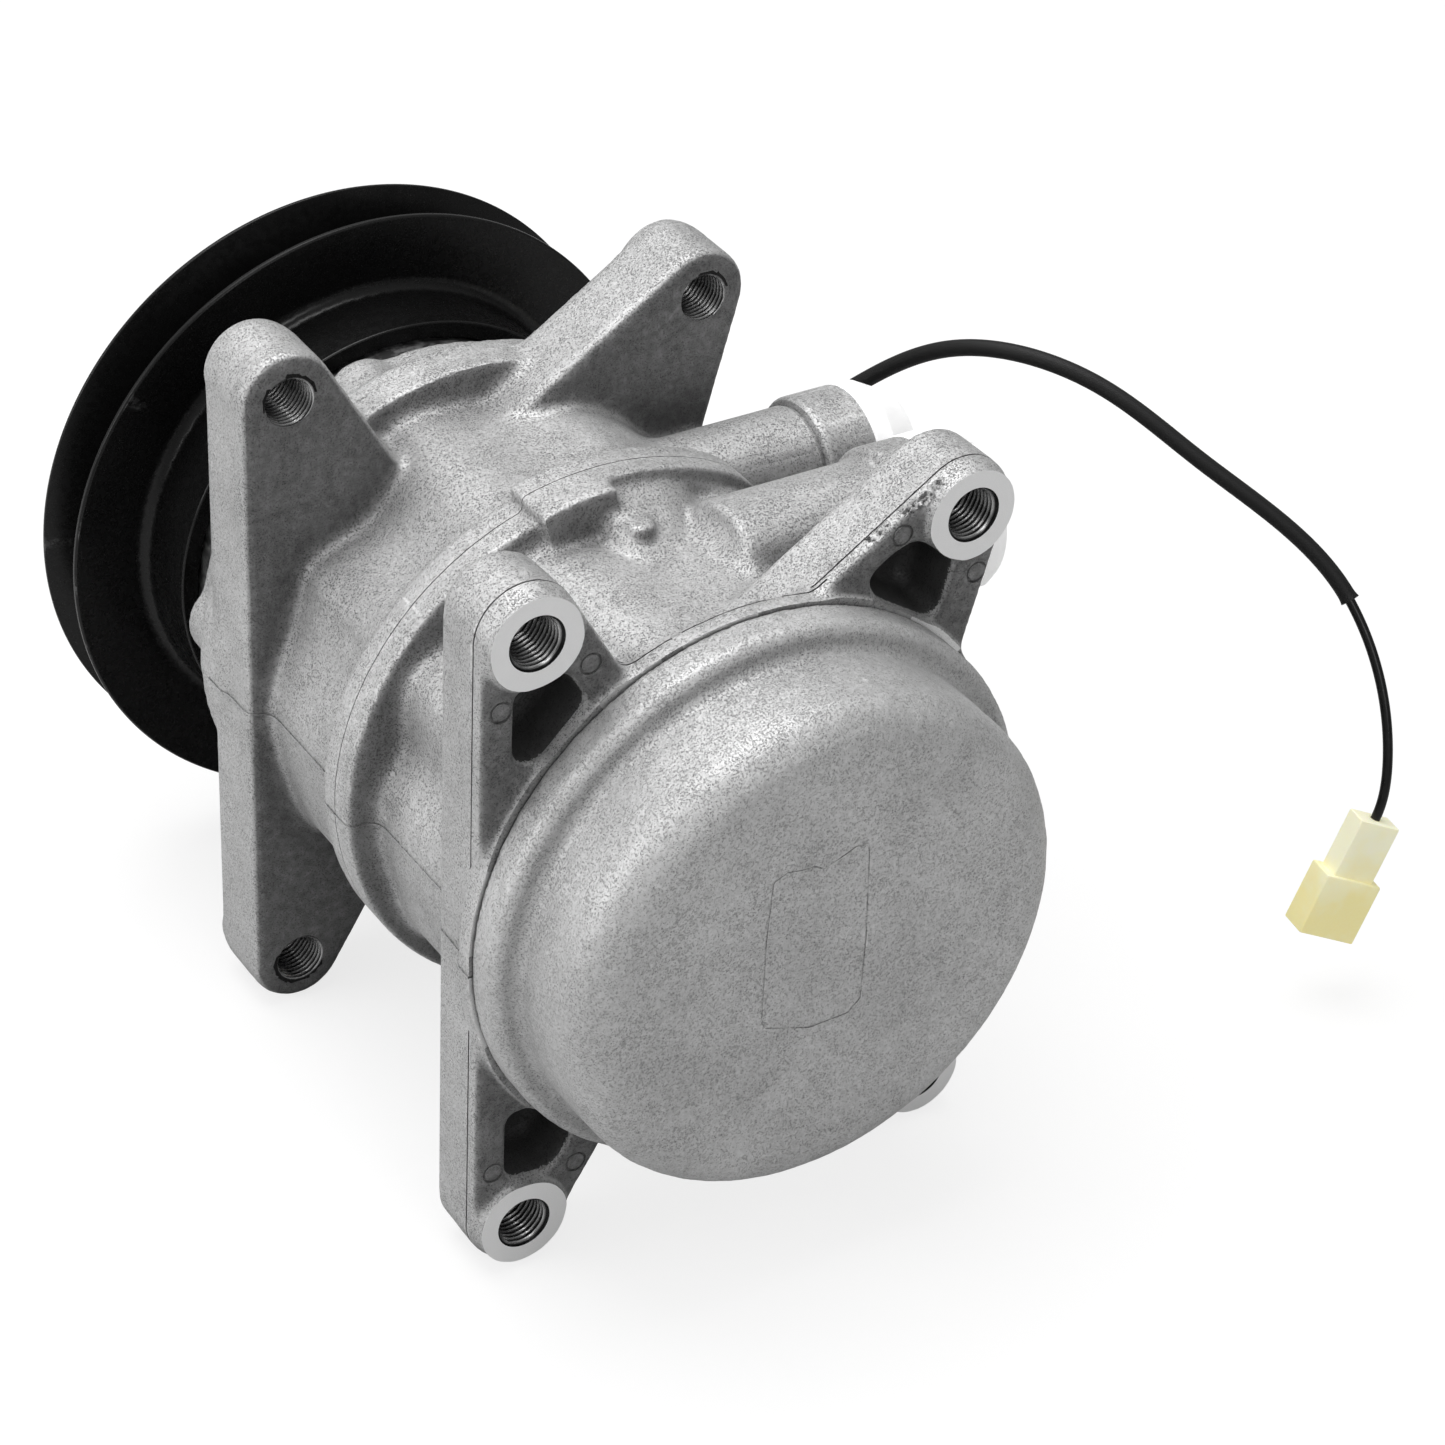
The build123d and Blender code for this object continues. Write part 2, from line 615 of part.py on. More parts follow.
def thrust_bearing(y0):
    """Two races with radial rollers between them."""
    race_t = 1.05
    roller_n = 16
    with BuildPart() as bearing:
        for y in (y0, y0 + THRUST_T - race_t):
            with BuildSketch(station(y)):
                annulus(20.0, 10.0)
            extrude(amount=-race_t)
        for k in range(roller_n):
            angle = k * 2 * pi / roller_n
            axis_plane = Plane(origin=(0, y0 + THRUST_T / 2, 0), z_dir=(cos(angle), 0, sin(angle)))
            with BuildSketch(axis_plane.offset(13.0)):
                Circle(1.5)
            extrude(amount=6.0)
    return bearing


save(thrust_bearing(REAR_THRUST_Y), "rear_thrust_bearing")
save(thrust_bearing(FRONT_THRUST_Y), "front_thrust_bearing")

# ================================================================ drive shaft and swash plate
drive_shaft = turned([
    (0, 8), (SHAFT_R - 1, 8), (SHAFT_R, 9), (SHAFT_R, 126), (NOSE_SHAFT_R, 127),
    (NOSE_SHAFT_R, SHAFT_STEP_Y), (HUB_SEAT_R, SHAFT_STEP_Y), (HUB_SEAT_R, NUT_Y),
    (THREAD_R, NUT_Y), (THREAD_R, 195.2), (4.2, 196.0), (0, 196.0)])
save(drive_shaft, "drive_shaft")

SWASH_REACH = 30.0              # half length of the trimming cylinders

with BuildPart() as swash_plate:
    # oversize tilted disc, trimmed to a cylinder about the shaft
    with BuildSketch(Plane(origin=(0, SWASH_Y, 0), x_dir=(1, 0, 0),
                           z_dir=(0, -cos(TILT), sin(TILT)))):
        Circle(60)
    extrude(amount=SWASH_T / 2, both=True)
    with BuildSketch(station(SWASH_Y - SWASH_REACH)):
        Circle(SWASH_R)
    extrude(amount=-2 * SWASH_REACH, mode=Mode.INTERSECT)
    # hub and shaft bore
    with BuildSketch(station(SWASH_Y - SWASH_HUB_HALF)):
        Circle(16.0)
    extrude(amount=-2 * SWASH_HUB_HALF)
    with BuildSketch(station(SWASH_Y - SWASH_REACH)):
        Circle(SHAFT_R)
    extrude(amount=-2 * SWASH_REACH, mode=Mode.SUBTRACT)
save(swash_plate, "swash_plate")

# ================================================================ pistons and shoes
RING_LAND = 4.0                 # piston end to groove
RING_GROOVE_W, RING_GROOVE_DEPTH = 1.6, 0.8
CUTTER = 40.0                   # side of the square that cuts the window


def bore_frame(k):
    """Plane at the middle of piston k, local x radial, and the centres of its two shoes."""
    ux, uz = cos(radians(k * STEP)), sin(radians(k * STEP))
    x, y, z = BORE_PR * ux, SWASH_Y + AMPLITUDE * uz, BORE_PR * uz
    plane = Plane(origin=(x, y, z), x_dir=(ux, 0, uz), z_dir=(0, -1, 0))
    return plane, [(x, y - SHOE_FACE, z), (x, y + SHOE_FACE, z)]


def piston(middle, shoe_centres):
    with BuildPart() as part:
        with BuildSketch(middle):
            Circle(PISTON_R)
        extrude(amount=PISTON_HALF, both=True)
        for side in (-1, 1):
            with BuildSketch(middle.offset(side * (PISTON_HALF - RING_LAND))):
                annulus(PISTON_R, PISTON_R - RING_GROOVE_DEPTH)
            extrude(amount=-side * RING_GROOVE_W, mode=Mode.SUBTRACT)
        # window for the swash plate, open towards the shaft
        with BuildSketch(middle):
            with Locations((BRIDGE_X - CUTTER / 2, 0)):
                Rectangle(CUTTER, CUTTER)
        extrude(amount=WINDOW, both=True, mode=Mode.SUBTRACT)
        with Locations(*shoe_centres):
            Sphere(SHOE_R + 0.05, mode=Mode.SUBTRACT)
    return part


def shoe_pair(middle, shoe_centres):
    """Two half balls, flat towards the piston's middle."""
    with BuildPart() as part:
        with Locations(*shoe_centres):
            Sphere(SHOE_R)
        with BuildSketch(middle):
            Circle(9)
        extrude(amount=SHOE_FACE, both=True, mode=Mode.SUBTRACT)
    return part


for k in range(BORE_N):
    frame = bore_frame(k)
    save(piston(*frame), f"piston_{k + 1}")
    save(shoe_pair(*frame), f"shoes_{k + 1}")

# ================================================================ shaft seal and snap rings
shaft_seal = turned([
    (SEAL_BORE_R, 128.2), (SEAL_BORE_R, 138.0), (11.6, 138.0), (9.6, 134.0), (8.05, 134.0),
    (8.05, 131.6), (9.2, 130.4), (11.6, 130.4), (11.6, 128.2)])
save(shaft_seal, "shaft_seal")


def snap_ring(ring):
    gap = 5.0
    with BuildPart() as part:
        with BuildSketch(station(ring.y)):
            annulus(ring.outer_r, ring.inner_r)
            with PolarLocations((ring.inner_r + ring.outer_r) / 2, 1, start_angle=ring.gap_angle):
                Rectangle((ring.outer_r - ring.inner_r) * 3, gap, mode=Mode.SUBTRACT)
        extrude(amount=-ring.thickness)
    return part


save(snap_ring(SEAL_RING), "seal_snap_ring")
save(snap_ring(BEARING_RING), "bearing_snap_ring")
save(snap_ring(COIL_RING), "coil_snap_ring")

# ================================================================ field coil
COIL_R0, COIL_R1 = 35.0, 47.8   # channel that holds the winding
COIL_FLOOR_Y, COIL_END_Y = 143.2, 170.0
COIL_WALL = 2.4
COIL_GAP = 0.1                  # winding to channel

with BuildPart() as coil_housing:
    with BuildSketch(Plane.XY):
        with BuildLine():
            Polyline((20.6, HEAD_FACE), (COIL_R1 + COIL_WALL, HEAD_FACE),
                     (COIL_R1 + COIL_WALL, COIL_END_Y), (COIL_R1, COIL_END_Y),
                     (COIL_R1, COIL_FLOOR_Y), (COIL_R0, COIL_FLOOR_Y), (COIL_R0, COIL_END_Y),
                     (COIL_R0 - COIL_WALL, COIL_END_Y), (COIL_R0 - COIL_WALL, 141.0),
                     (20.6, 141.0), close=True)
        make_face()
    revolve(axis=Axis.Y)
    # lead outlet through the outer wall
    with BuildSketch(across(44)):
        with Locations((LEAD_Y, LEAD_Z)):
            Circle(OUTLET_R)
    extrude(amount=12, mode=Mode.SUBTRACT)
save(coil_housing, "coil_housing")

with BuildPart() as coil_winding:
    with BuildSketch(Plane.XY):
        with BuildLine():
            Polyline((COIL_R0 + COIL_GAP, COIL_FLOOR_Y + COIL_GAP),
                     (COIL_R1 - COIL_GAP, COIL_FLOOR_Y + COIL_GAP),
                     (COIL_R1 - COIL_GAP, 168.6), (COIL_R0 + COIL_GAP, 168.6), close=True)
        make_face()
    revolve(axis=Axis.Y)
    with BuildSketch(across(45.2)):
        with Locations((LEAD_Y, LEAD_Z)):
            Circle(OUTLET_R)
    extrude(amount=8, mode=Mode.SUBTRACT)
save(coil_winding, "coil_winding")

# ================================================================ pulley bearing
BALL_ROWS_Y = (157.0, 167.0)
BALL_PR = 21.7
BALL_R, RACE_R = 2.36, 2.42
BEARING_R = 26.0                # outside of the bearing, bore of the pulley
BEARING_END_Y = 172.0


def bearing_ring(inner_r, outer_r):
    with BuildPart() as ring:
        with BuildSketch(Plane.XY):
            with BuildLine():
                Polyline((inner_r, NOSE_Y), (outer_r, NOSE_Y), (outer_r, BEARING_END_Y),
                         (inner_r, BEARING_END_Y), close=True)
            make_face()
            with Locations(*[(BALL_PR, y) for y in BALL_ROWS_Y]):
                Circle(RACE_R, mode=Mode.SUBTRACT)
        revolve(axis=Axis.Y)
    return ring


save(bearing_ring(NOSE_R, 20.3), "bearing_inner_ring")
save(bearing_ring(23.1, BEARING_R), "bearing_outer_ring")

with BuildPart() as bearing_balls:
    for y in BALL_ROWS_Y:
        with Locations(Location((0, y, 0), (90, 0, 0))):
            with PolarLocations(BALL_PR, 16):
                Sphere(BALL_R)
save(bearing_balls, "bearing_balls")

# ================================================================ pulley with rotor
# (r, y) profile: bearing seat, coil channel, rotor wall, belt rims and groove, friction face
PULLEY_PROFILE = [
    (BEARING_R, 150.5), (30.8, 150.5), (30.8, 174.0), (51.0, 174.0),
    (51.0, ROTOR_Y0), (ROTOR_R, ROTOR_Y0), (ROTOR_R, RIM_Y0 + 2.6),
    (RIM_R - 0.4, RIM_Y0), (RIM_R, RIM_Y0 + 0.4), (RIM_R, RIM_Y0 + 1.2),
    (GROOVE_R + 0.4, 168.6), (GROOVE_R, 169.4), (GROOVE_R, 175.2), (GROOVE_R + 0.4, 176.0),
    (RIM_R, RIM_Y1 - 1.1), (RIM_R, RIM_Y1 - 0.4), (RIM_R - 0.4, RIM_Y1),
    (58.0, RIM_Y1 - 1.2), (ROTOR_R, ROTOR_Y1),
    (24.4, ROTOR_Y1), (24.4, 172.2), (BEARING_R, 172.2)]
SLOT_HALF_W = 1.1
SLOT_ARC = 44

with BuildPart() as pulley:
    with BuildSketch(Plane.XY):
        with BuildLine():
            Polyline(*PULLEY_PROFILE, close=True)
        make_face()
    revolve(axis=Axis.Y)
    # banana slots through the friction face, in two staggered rings
    for radius, middle_angle in ((36.5, 0), (45.0, 30)):
        with BuildSketch(station(ROTOR_Y1)):
            for k in range(6):
                start = middle_angle + 60 * k - SLOT_ARC / 2
                with BuildLine():
                    outer = CenterArc((0, 0), radius + SLOT_HALF_W, start, SLOT_ARC)
                    inner = CenterArc((0, 0), radius - SLOT_HALF_W, start, SLOT_ARC)
                    Line(outer @ 0, inner @ 0)
                    Line(outer @ 1, inner @ 1)
                make_face()
        extrude(amount=8, mode=Mode.SUBTRACT)
save(pulley, "pulley")

# ================================================================ clutch hub and armature
RIVET_PR, RIVET_START = 46.5, 90            # armature rivets
RIVET_R, RIVET_DEPTH = 2.0, 3.0
HUB_RIVET_R = 1.8


def rivet_circles(radius, mode=Mode.ADD):
    circle_ring(RIVET_PR, radius, count=3, start=RIVET_START, mode=mode)


def hub_rivet_circles(radius, mode=Mode.ADD):
    circle_ring(15.4, radius, count=3, start=30, mode=mode)


with BuildPart() as armature_plate:
    with BuildSketch(station(ARMATURE_Y0)):
        annulus(54.0, 29.0)
        for k in range(3):
            with BuildLine():
                outer = CenterArc((0, 0), 41.4, 120 * k + 45, 70)
                inner = CenterArc((0, 0), 39.4, 120 * k + 45, 70)
                Line(outer @ 0, inner @ 0)
                Line(outer @ 1, inner @ 1)
            make_face(mode=Mode.SUBTRACT)
    extrude(amount=-ARMATURE_T)
    # blind holes for the rivets
    with BuildSketch(station(SPRING_Y)):
        rivet_circles(RIVET_R)
    extrude(amount=RIVET_DEPTH, mode=Mode.SUBTRACT)
save(armature_plate, "armature_plate")

with BuildPart() as leaf_springs:
    with BuildSketch(station(SPRING_Y)):
        Circle(HUB_FLANGE_R)
        with PolarLocations(32.0, 3, start_angle=RIVET_START):
            Rectangle(30.0, 11.0)
        rivet_circles(6.0)
        Circle(HUB_BOSS_R + 0.2, mode=Mode.SUBTRACT)
        rivet_circles(2.4, Mode.SUBTRACT)
        hub_rivet_circles(HUB_RIVET_R, Mode.SUBTRACT)
    extrude(amount=-SPRING_T)
save(leaf_springs, "leaf_springs")

RIVET_HEAD_Y = HUB_Y + 0.6
with BuildPart() as armature_rivets:
    for y, radius, length in ((SPRING_Y - RIVET_DEPTH, RIVET_R,
                               RIVET_HEAD_Y - SPRING_Y + RIVET_DEPTH),
                              (RIVET_HEAD_Y, 3.8, 1.4)):
        with BuildSketch(station(y)):
            rivet_circles(radius)
        extrude(amount=-length)
    fillet(armature_rivets.faces().sort_by(Axis.Y)[-3:].edges(), radius=0.9)
save(armature_rivets, "armature_rivets")

HUB_START_Y = SHAFT_STEP_Y + SHIM_T
with BuildPart() as clutch_hub:
    with BuildSketch(station(HUB_START_Y)):
        Circle(HUB_BOSS_R)
    extrude(amount=HUB_START_Y - HUB_Y)
    with BuildSketch(station(HUB_Y)):
        Circle(HUB_FLANGE_R)
        hub_rivet_circles(HUB_RIVET_R, Mode.SUBTRACT)
    extrude(amount=-HUB_FLANGE_T)
    with BuildSketch(station(160)):
        Circle(HUB_SEAT_R)
    extrude(amount=-40, mode=Mode.SUBTRACT)
save(clutch_hub, "clutch_hub")

with BuildPart() as hub_rivets:
    for y, radius, length in ((SPRING_Y, HUB_RIVET_R, SPRING_T + HUB_FLANGE_T),
                              (HUB_Y + HUB_FLANGE_T, 3.0, 1.1)):
        with BuildSketch(station(y)):
            hub_rivet_circles(radius)
        extrude(amount=-length)
save(hub_rivets, "hub_rivets")

with BuildPart() as hub_nut:
    with BuildSketch(station(NUT_Y + WASHER_T)):
        RegularPolygon(8.5, 6, major_radius=False)
        Circle(THREAD_R, mode=Mode.SUBTRACT)
    extrude(amount=-6.0)
    # round washer face
    with BuildSketch(station(NUT_Y)):
        annulus(8.9, THREAD_R)
    extrude(amount=-WASHER_T)
save(hub_nut, "hub_nut")

with BuildPart() as clutch_shim:
    with BuildSketch(station(SHAFT_STEP_Y)):
        annulus(9.6, HUB_SEAT_R)
    extrude(amount=-SHIM_T)
save(clutch_shim, "clutch_shim")


# ================================================================ port caps
def port_cap(port):
    """Flange over the collar, tapered grip, and a hollow plug in the mouth."""
    mouth = Plane(origin=(port.end_x, port.y, port.z), x_dir=(0, 1, 0), z_dir=(1, 0, 0))
    flange_r = port.collar_r + 0.2
    hollow_r = port.bore_r + 0.3
    with BuildPart() as cap:
        with BuildSketch(mouth):
            Circle(flange_r)
        extrude(amount=port.cap_flat)
        with BuildSketch(mouth.offset(port.cap_flat)):
            Circle(flange_r)
        extrude(amount=CAP_LENGTH - port.cap_flat, taper=28)
        with BuildSketch(mouth):
            annulus(port.mouth_r - 0.05, hollow_r)
        extrude(amount=-CAP_PLUG)
        with BuildSketch(mouth):
            Circle(hollow_r)
        extrude(amount=3.0, mode=Mode.SUBTRACT)
    return cap


save(port_cap(SUCTION), "suction_cap")
save(port_cap(DISCHARGE), "discharge_cap")

# ================================================================ coil lead and sleeve
# ends of the sleeve, the lead's directions there, and the points between, (x, y, z)
SLEEVE_START, SLEEVE_END = (58.0, 144.6, 6.0), (171.2, 15.0, 7.2)
START_DIR, END_DIR = (0.95, -0.28, 0.10), (0.20, -0.66, -0.72)
SLEEVE_POINTS = [(82.0, 134.0, 10.0), (108.0, 120.0, 28.0), (119.5, 100.0, 43.4),
                 (137.0, 70.0, 44.0), (150.3, 48.0, 32.4)]
# connector: middle of its top, direction down its length, direction of its width
CONNECTOR_TOP = (167.6, -8.0, -37.8)
CONNECTOR_DOWN = (-0.400, 0.0, -0.9165)
CONNECTOR_WIDE = (0.8852, -0.2588, -0.3864)
LEAD_INSERT = 4.0               # length of lead inside the connector

with BuildPart() as lead_wire:
    with BuildLine() as lead_path:
        Spline((45.6, LEAD_Y, LEAD_Z), (52.0, LEAD_Y, LEAD_Z + 0.6), SLEEVE_START,
               tangents=[(1, 0, 0.02), START_DIR])
        Spline(SLEEVE_START, *SLEEVE_POINTS, SLEEVE_END, tangents=[START_DIR, END_DIR])
        Spline(SLEEVE_END, (171.4, -5.0, -24.6), CONNECTOR_TOP,
               tangents=[END_DIR, CONNECTOR_DOWN])
        Line(CONNECTOR_TOP,
             tuple(c + LEAD_INSERT * d for c, d in zip(CONNECTOR_TOP, CONNECTOR_DOWN)))
    with BuildSketch(Plane(origin=lead_path.wires()[0] @ 0, z_dir=lead_path.wires()[0] % 0)):
        Circle(LEAD_R)
    sweep()
save(lead_wire, "lead_wire")

with BuildPart() as braided_sleeve:
    with BuildLine() as sleeve_path:
        Spline(SLEEVE_START, *SLEEVE_POINTS, SLEEVE_END, tangents=[START_DIR, END_DIR])
    with BuildSketch(Plane(origin=sleeve_path.wires()[0] @ 0, z_dir=sleeve_path.wires()[0] % 0)):
        annulus(2.0, LEAD_HOLE_R)
    sweep()
save(braided_sleeve, "braided_sleeve")

# ================================================================ connector
UPPER_W, UPPER_T, UPPER_L = 10.8, 6.2, 14.6
SHROUD_W, SHROUD_T, SHROUD_L = 15.2, 8.0, 15.3
SHROUD_FLOOR = 2.2
LEAD_HOLE_DEPTH = 4.6
connector_top = Plane(origin=CONNECTOR_TOP, x_dir=CONNECTOR_WIDE, z_dir=CONNECTOR_DOWN)

with BuildPart() as connector_housing:
    # narrow upper body, then the wider mating shroud, open at the bottom
    with BuildSketch(connector_top):
        RectangleRounded(UPPER_W, UPPER_T, 0.5)
    extrude(amount=UPPER_L)
    with BuildSketch(connector_top.offset(UPPER_L)):
        RectangleRounded(SHROUD_W, SHROUD_T, 0.6)
    extrude(amount=SHROUD_L)
    with BuildSketch(connector_top.offset(UPPER_L + SHROUD_FLOOR)):
        RectangleRounded(SHROUD_W - 2.8, SHROUD_T - 2.6, 0.5)
    extrude(amount=20, mode=Mode.SUBTRACT)
    # lead hole, then the terminal's cavity
    with BuildSketch(connector_top):
        Circle(LEAD_HOLE_R)
    extrude(amount=LEAD_HOLE_DEPTH, mode=Mode.SUBTRACT)
    with BuildSketch(connector_top.offset(LEAD_HOLE_DEPTH)):
        Rectangle(5.0, 2.6)
    extrude(amount=20, mode=Mode.SUBTRACT)
save(connector_housing, "connector_housing")

with BuildPart() as connector_terminal:
    # body in the cavity, then the flat blade in the shroud
    with BuildSketch(connector_top.offset(LEAD_HOLE_DEPTH + 0.1)):
        Rectangle(4.6, 2.2)
    extrude(amount=12.2)
    with BuildSketch(connector_top.offset(UPPER_L + SHROUD_FLOOR + 0.05)):
        Rectangle(6.2, 0.8)
    extrude(amount=9.5)
save(connector_terminal, "connector_terminal")
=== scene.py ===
import json
import math

import bmesh
import bpy
import numpy as np
import openvdb
from mathutils import Matrix, Vector, noise


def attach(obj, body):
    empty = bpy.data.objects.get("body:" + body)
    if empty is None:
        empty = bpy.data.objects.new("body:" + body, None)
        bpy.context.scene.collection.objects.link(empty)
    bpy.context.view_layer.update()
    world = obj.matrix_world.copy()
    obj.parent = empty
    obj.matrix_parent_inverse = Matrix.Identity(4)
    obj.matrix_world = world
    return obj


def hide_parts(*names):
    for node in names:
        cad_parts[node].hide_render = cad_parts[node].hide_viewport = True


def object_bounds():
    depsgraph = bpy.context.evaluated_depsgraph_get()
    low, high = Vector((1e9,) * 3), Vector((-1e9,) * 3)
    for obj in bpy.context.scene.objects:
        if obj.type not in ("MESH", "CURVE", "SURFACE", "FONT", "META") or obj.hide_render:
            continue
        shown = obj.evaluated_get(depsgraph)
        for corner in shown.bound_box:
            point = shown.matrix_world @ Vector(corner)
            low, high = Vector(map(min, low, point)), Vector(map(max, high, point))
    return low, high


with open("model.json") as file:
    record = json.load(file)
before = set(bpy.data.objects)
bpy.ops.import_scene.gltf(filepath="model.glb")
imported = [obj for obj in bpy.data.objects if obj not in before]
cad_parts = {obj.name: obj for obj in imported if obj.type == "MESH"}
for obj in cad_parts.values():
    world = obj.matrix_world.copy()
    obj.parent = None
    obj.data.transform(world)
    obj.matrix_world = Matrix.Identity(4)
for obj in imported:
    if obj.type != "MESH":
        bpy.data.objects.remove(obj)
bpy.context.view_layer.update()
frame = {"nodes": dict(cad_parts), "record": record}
MM = 0.001
VOX = 0.55


# ------------------------------------------------------------------ mesh helpers (millimetres in, metres out)
def tri_arrays(V, F):
    """Vertices and triangles, with outward normals, of a closed polygon mesh."""
    bm = bmesh.new()
    vs = [bm.verts.new(tuple(float(c) for c in v)) for v in V]
    for f in F:
        try:
            bm.faces.new([vs[i] for i in f])
        except ValueError:
            pass
    bmesh.ops.remove_doubles(bm, verts=bm.verts, dist=1e-5)
    bmesh.ops.triangulate(bm, faces=bm.faces)
    bmesh.ops.recalc_face_normals(bm, faces=bm.faces)
    bm.verts.index_update()
    out_v = np.array([v.co[:] for v in bm.verts], float)
    out_f = np.array([[v.index for v in f.verts] for f in bm.faces], np.int64)
    bm.free()
    return out_v, out_f


def join(*parts):
    V, F, n = [], [], 0
    for v, f in parts:
        V.append(np.asarray(v, float))
        F.append(np.asarray(f, np.int64) + n)
        n += len(v)
    return np.concatenate(V), np.concatenate(F)


def prism(outline, y0, y1, inset0=0.0, inset1=0.0):
    """Outline in X and Z drawn along Y. inset0 and inset1 pull the ends in, for draft."""
    pts = np.array(outline, float)
    n = len(pts)
    area = 0.5 * sum(pts[i][0] * pts[(i + 1) % n][1] - pts[(i + 1) % n][0] * pts[i][1] for i in range(n))
    sgn = 1.0 if area > 0 else -1.0

    def inset(d):
        if abs(d) < 1e-9:
            return pts.copy()
        out = []
        for i in range(n):
            a, b, c = pts[i - 1], pts[i], pts[(i + 1) % n]
            e0, e1 = (b - a) / np.linalg.norm(b - a), (c - b) / np.linalg.norm(c - b)
            n0, n1 = np.array([-e0[1], e0[0]]) * sgn, np.array([-e1[1], e1[0]]) * sgn
            k = 1.0 + float(n0 @ n1)
            out.append(b + d * (n0 + n1) / max(k, 0.35))
        return np.array(out)

    a, b = inset(inset0), inset(inset1)
    V = [(p[0], y0, p[1]) for p in a] + [(p[0], y1, p[1]) for p in b]
    F = [list(range(n)), list(range(n, 2 * n))] + [[i, (i + 1) % n, n + (i + 1) % n, n + i] for i in range(n)]
    return tri_arrays(V, F)


def circle(cx, cz, r, seg=64, a0=0.0, a1=360.0):
    full = abs(a1 - a0 - 360.0) < 1e-6
    k = seg if full else seg + 1
    return [(cx + r * math.cos(math.radians(a0 + (a1 - a0) * i / seg)), cz + r * math.sin(math.radians(a0 + (a1 - a0) * i / seg)))
            for i in range(k)]


def lathe(profile, seg=192, a0=0.0):
    """Closed profile of (radius, y) points turned about the shaft axis."""
    prof = np.array(profile, float)
    n = len(prof)
    V = []
    for s in range(seg):
        a = math.radians(a0) + 2 * math.pi * s / seg
        for r, y in prof:
            V.append((r * math.cos(a), y, r * math.sin(a)))
    F = []
    for s in range(seg):
        t = (s + 1) % seg
        for i in range(n):
            j = (i + 1) % n
            if prof[i][0] < 1e-7 and prof[j][0] < 1e-7:
                continue
            F.append([s * n + i, s * n + j, t * n + j, t * n + i])
    bm = bmesh.new()
    vs = [bm.verts.new(v) for v in V]
    for f in F:
        bm.faces.new([vs[i] for i in f])
    bmesh.ops.remove_doubles(bm, verts=bm.verts, dist=1e-5)
    bmesh.ops.recalc_face_normals(bm, faces=bm.faces)
    bm.verts.index_update()
    out_v = np.array([v.co[:] for v in bm.verts], float)
    out_f = [[v.index for v in f.verts] for f in bm.faces]
    bm.free()
    return out_v, out_f


def rounded(points, radii, steps=6):
    """Polyline profile with rounded corners, closed."""
    P = [np.array(p, float) for p in points]
    n, out = len(P), []
    for i in range(n):
        r = radii[i] if i < len(radii) else 0.0
        a, b, c = P[i - 1], P[i], P[(i + 1) % n]
        if r <= 0:
            out.append(tuple(b))
            continue
        u, v = (a - b) / np.linalg.norm(a - b), (c - b) / np.linalg.norm(c - b)
        ang = math.acos(max(-1, min(1, float(u @ v))))
        if ang > math.pi - 1e-3 or ang < 1e-3:
            out.append(tuple(b))
            continue
        d = min(r / math.tan(ang / 2), 0.49 * np.linalg.norm(a - b), 0.49 * np.linalg.norm(c - b))
        rr = d * math.tan(ang / 2)
        bis = (u + v) / np.linalg.norm(u + v)
        o = b + bis * (rr / math.sin(ang / 2))
        p0, p1 = b + u * d, b + v * d
        a0, a1 = math.atan2(*(p0 - o)[::-1]), math.atan2(*(p1 - o)[::-1])
        da = (a1 - a0 + math.pi) % (2 * math.pi) - math.pi
        for s in range(steps + 1):
            t = a0 + da * s / steps
            out.append((o[0] + rr * math.cos(t), o[1] + rr * math.sin(t)))
    return out


def rod(p0, p1, r0, r1=None, seg=96):
    """Cylinder or cone between two points."""
    r1 = r0 if r1 is None else r1
    p0, p1 = Vector(p0), Vector(p1)
    d = (p1 - p0).normalized()
    u = d.orthogonal().normalized()
    w = d.cross(u)
    V = [p0 + (u * math.cos(2 * math.pi * i / seg) + w * math.sin(2 * math.pi * i / seg)) * r0 for i in range(seg)]
    V += [p1 + (u * math.cos(2 * math.pi * i / seg) + w * math.sin(2 * math.pi * i / seg)) * r1 for i in range(seg)]
    F = [list(range(seg))[::-1], list(range(seg, 2 * seg))] + [[i, (i + 1) % seg, seg + (i + 1) % seg, seg + i] for i in range(seg)]
    return tri_arrays(V, F)


def hull(points):
    bm = bmesh.new()
    for p in points:
        bm.verts.new(tuple(float(c) for c in p))
    bmesh.ops.convex_hull(bm, input=bm.verts)
    loose = [v for v in bm.verts if not v.link_faces]
    bmesh.ops.delete(bm, geom=loose, context="VERTS")
    bmesh.ops.triangulate(bm, faces=bm.faces)
    bmesh.ops.recalc_face_normals(bm, faces=bm.faces)
    bm.verts.index_update()
    V = np.array([v.co[:] for v in bm.verts], float)
    F = np.array([[v.index for v in f.verts] for f in bm.faces], np.int64)
    bm.free()
    return V, F


def make(name, V, F, smooth=30.0):
    me = bpy.data.meshes.new(name)
    V = np.asarray(V, float) * MM
    if isinstance(F, np.ndarray) and F.ndim == 2:
        k = F.shape[1]
        me.vertices.add(len(V))
        me.vertices.foreach_set("co", V.astype(np.float32).ravel())
        me.loops.add(F.size)
        me.loops.foreach_set("vertex_index", F.astype(np.int32).ravel())
        me.polygons.add(len(F))
        me.polygons.foreach_set("loop_start", np.arange(0, F.size, k, dtype=np.int32))
        me.update(calc_edges=True)
    else:
        me.from_pydata([tuple(v) for v in V], [], [list(map(int, f)) for f in F])
        me.update()
    me.validate()
    ob = bpy.data.objects.new(name, me)
    bpy.context.scene.collection.objects.link(ob)
    if smooth is not None:
        shade(ob, smooth)
    return ob


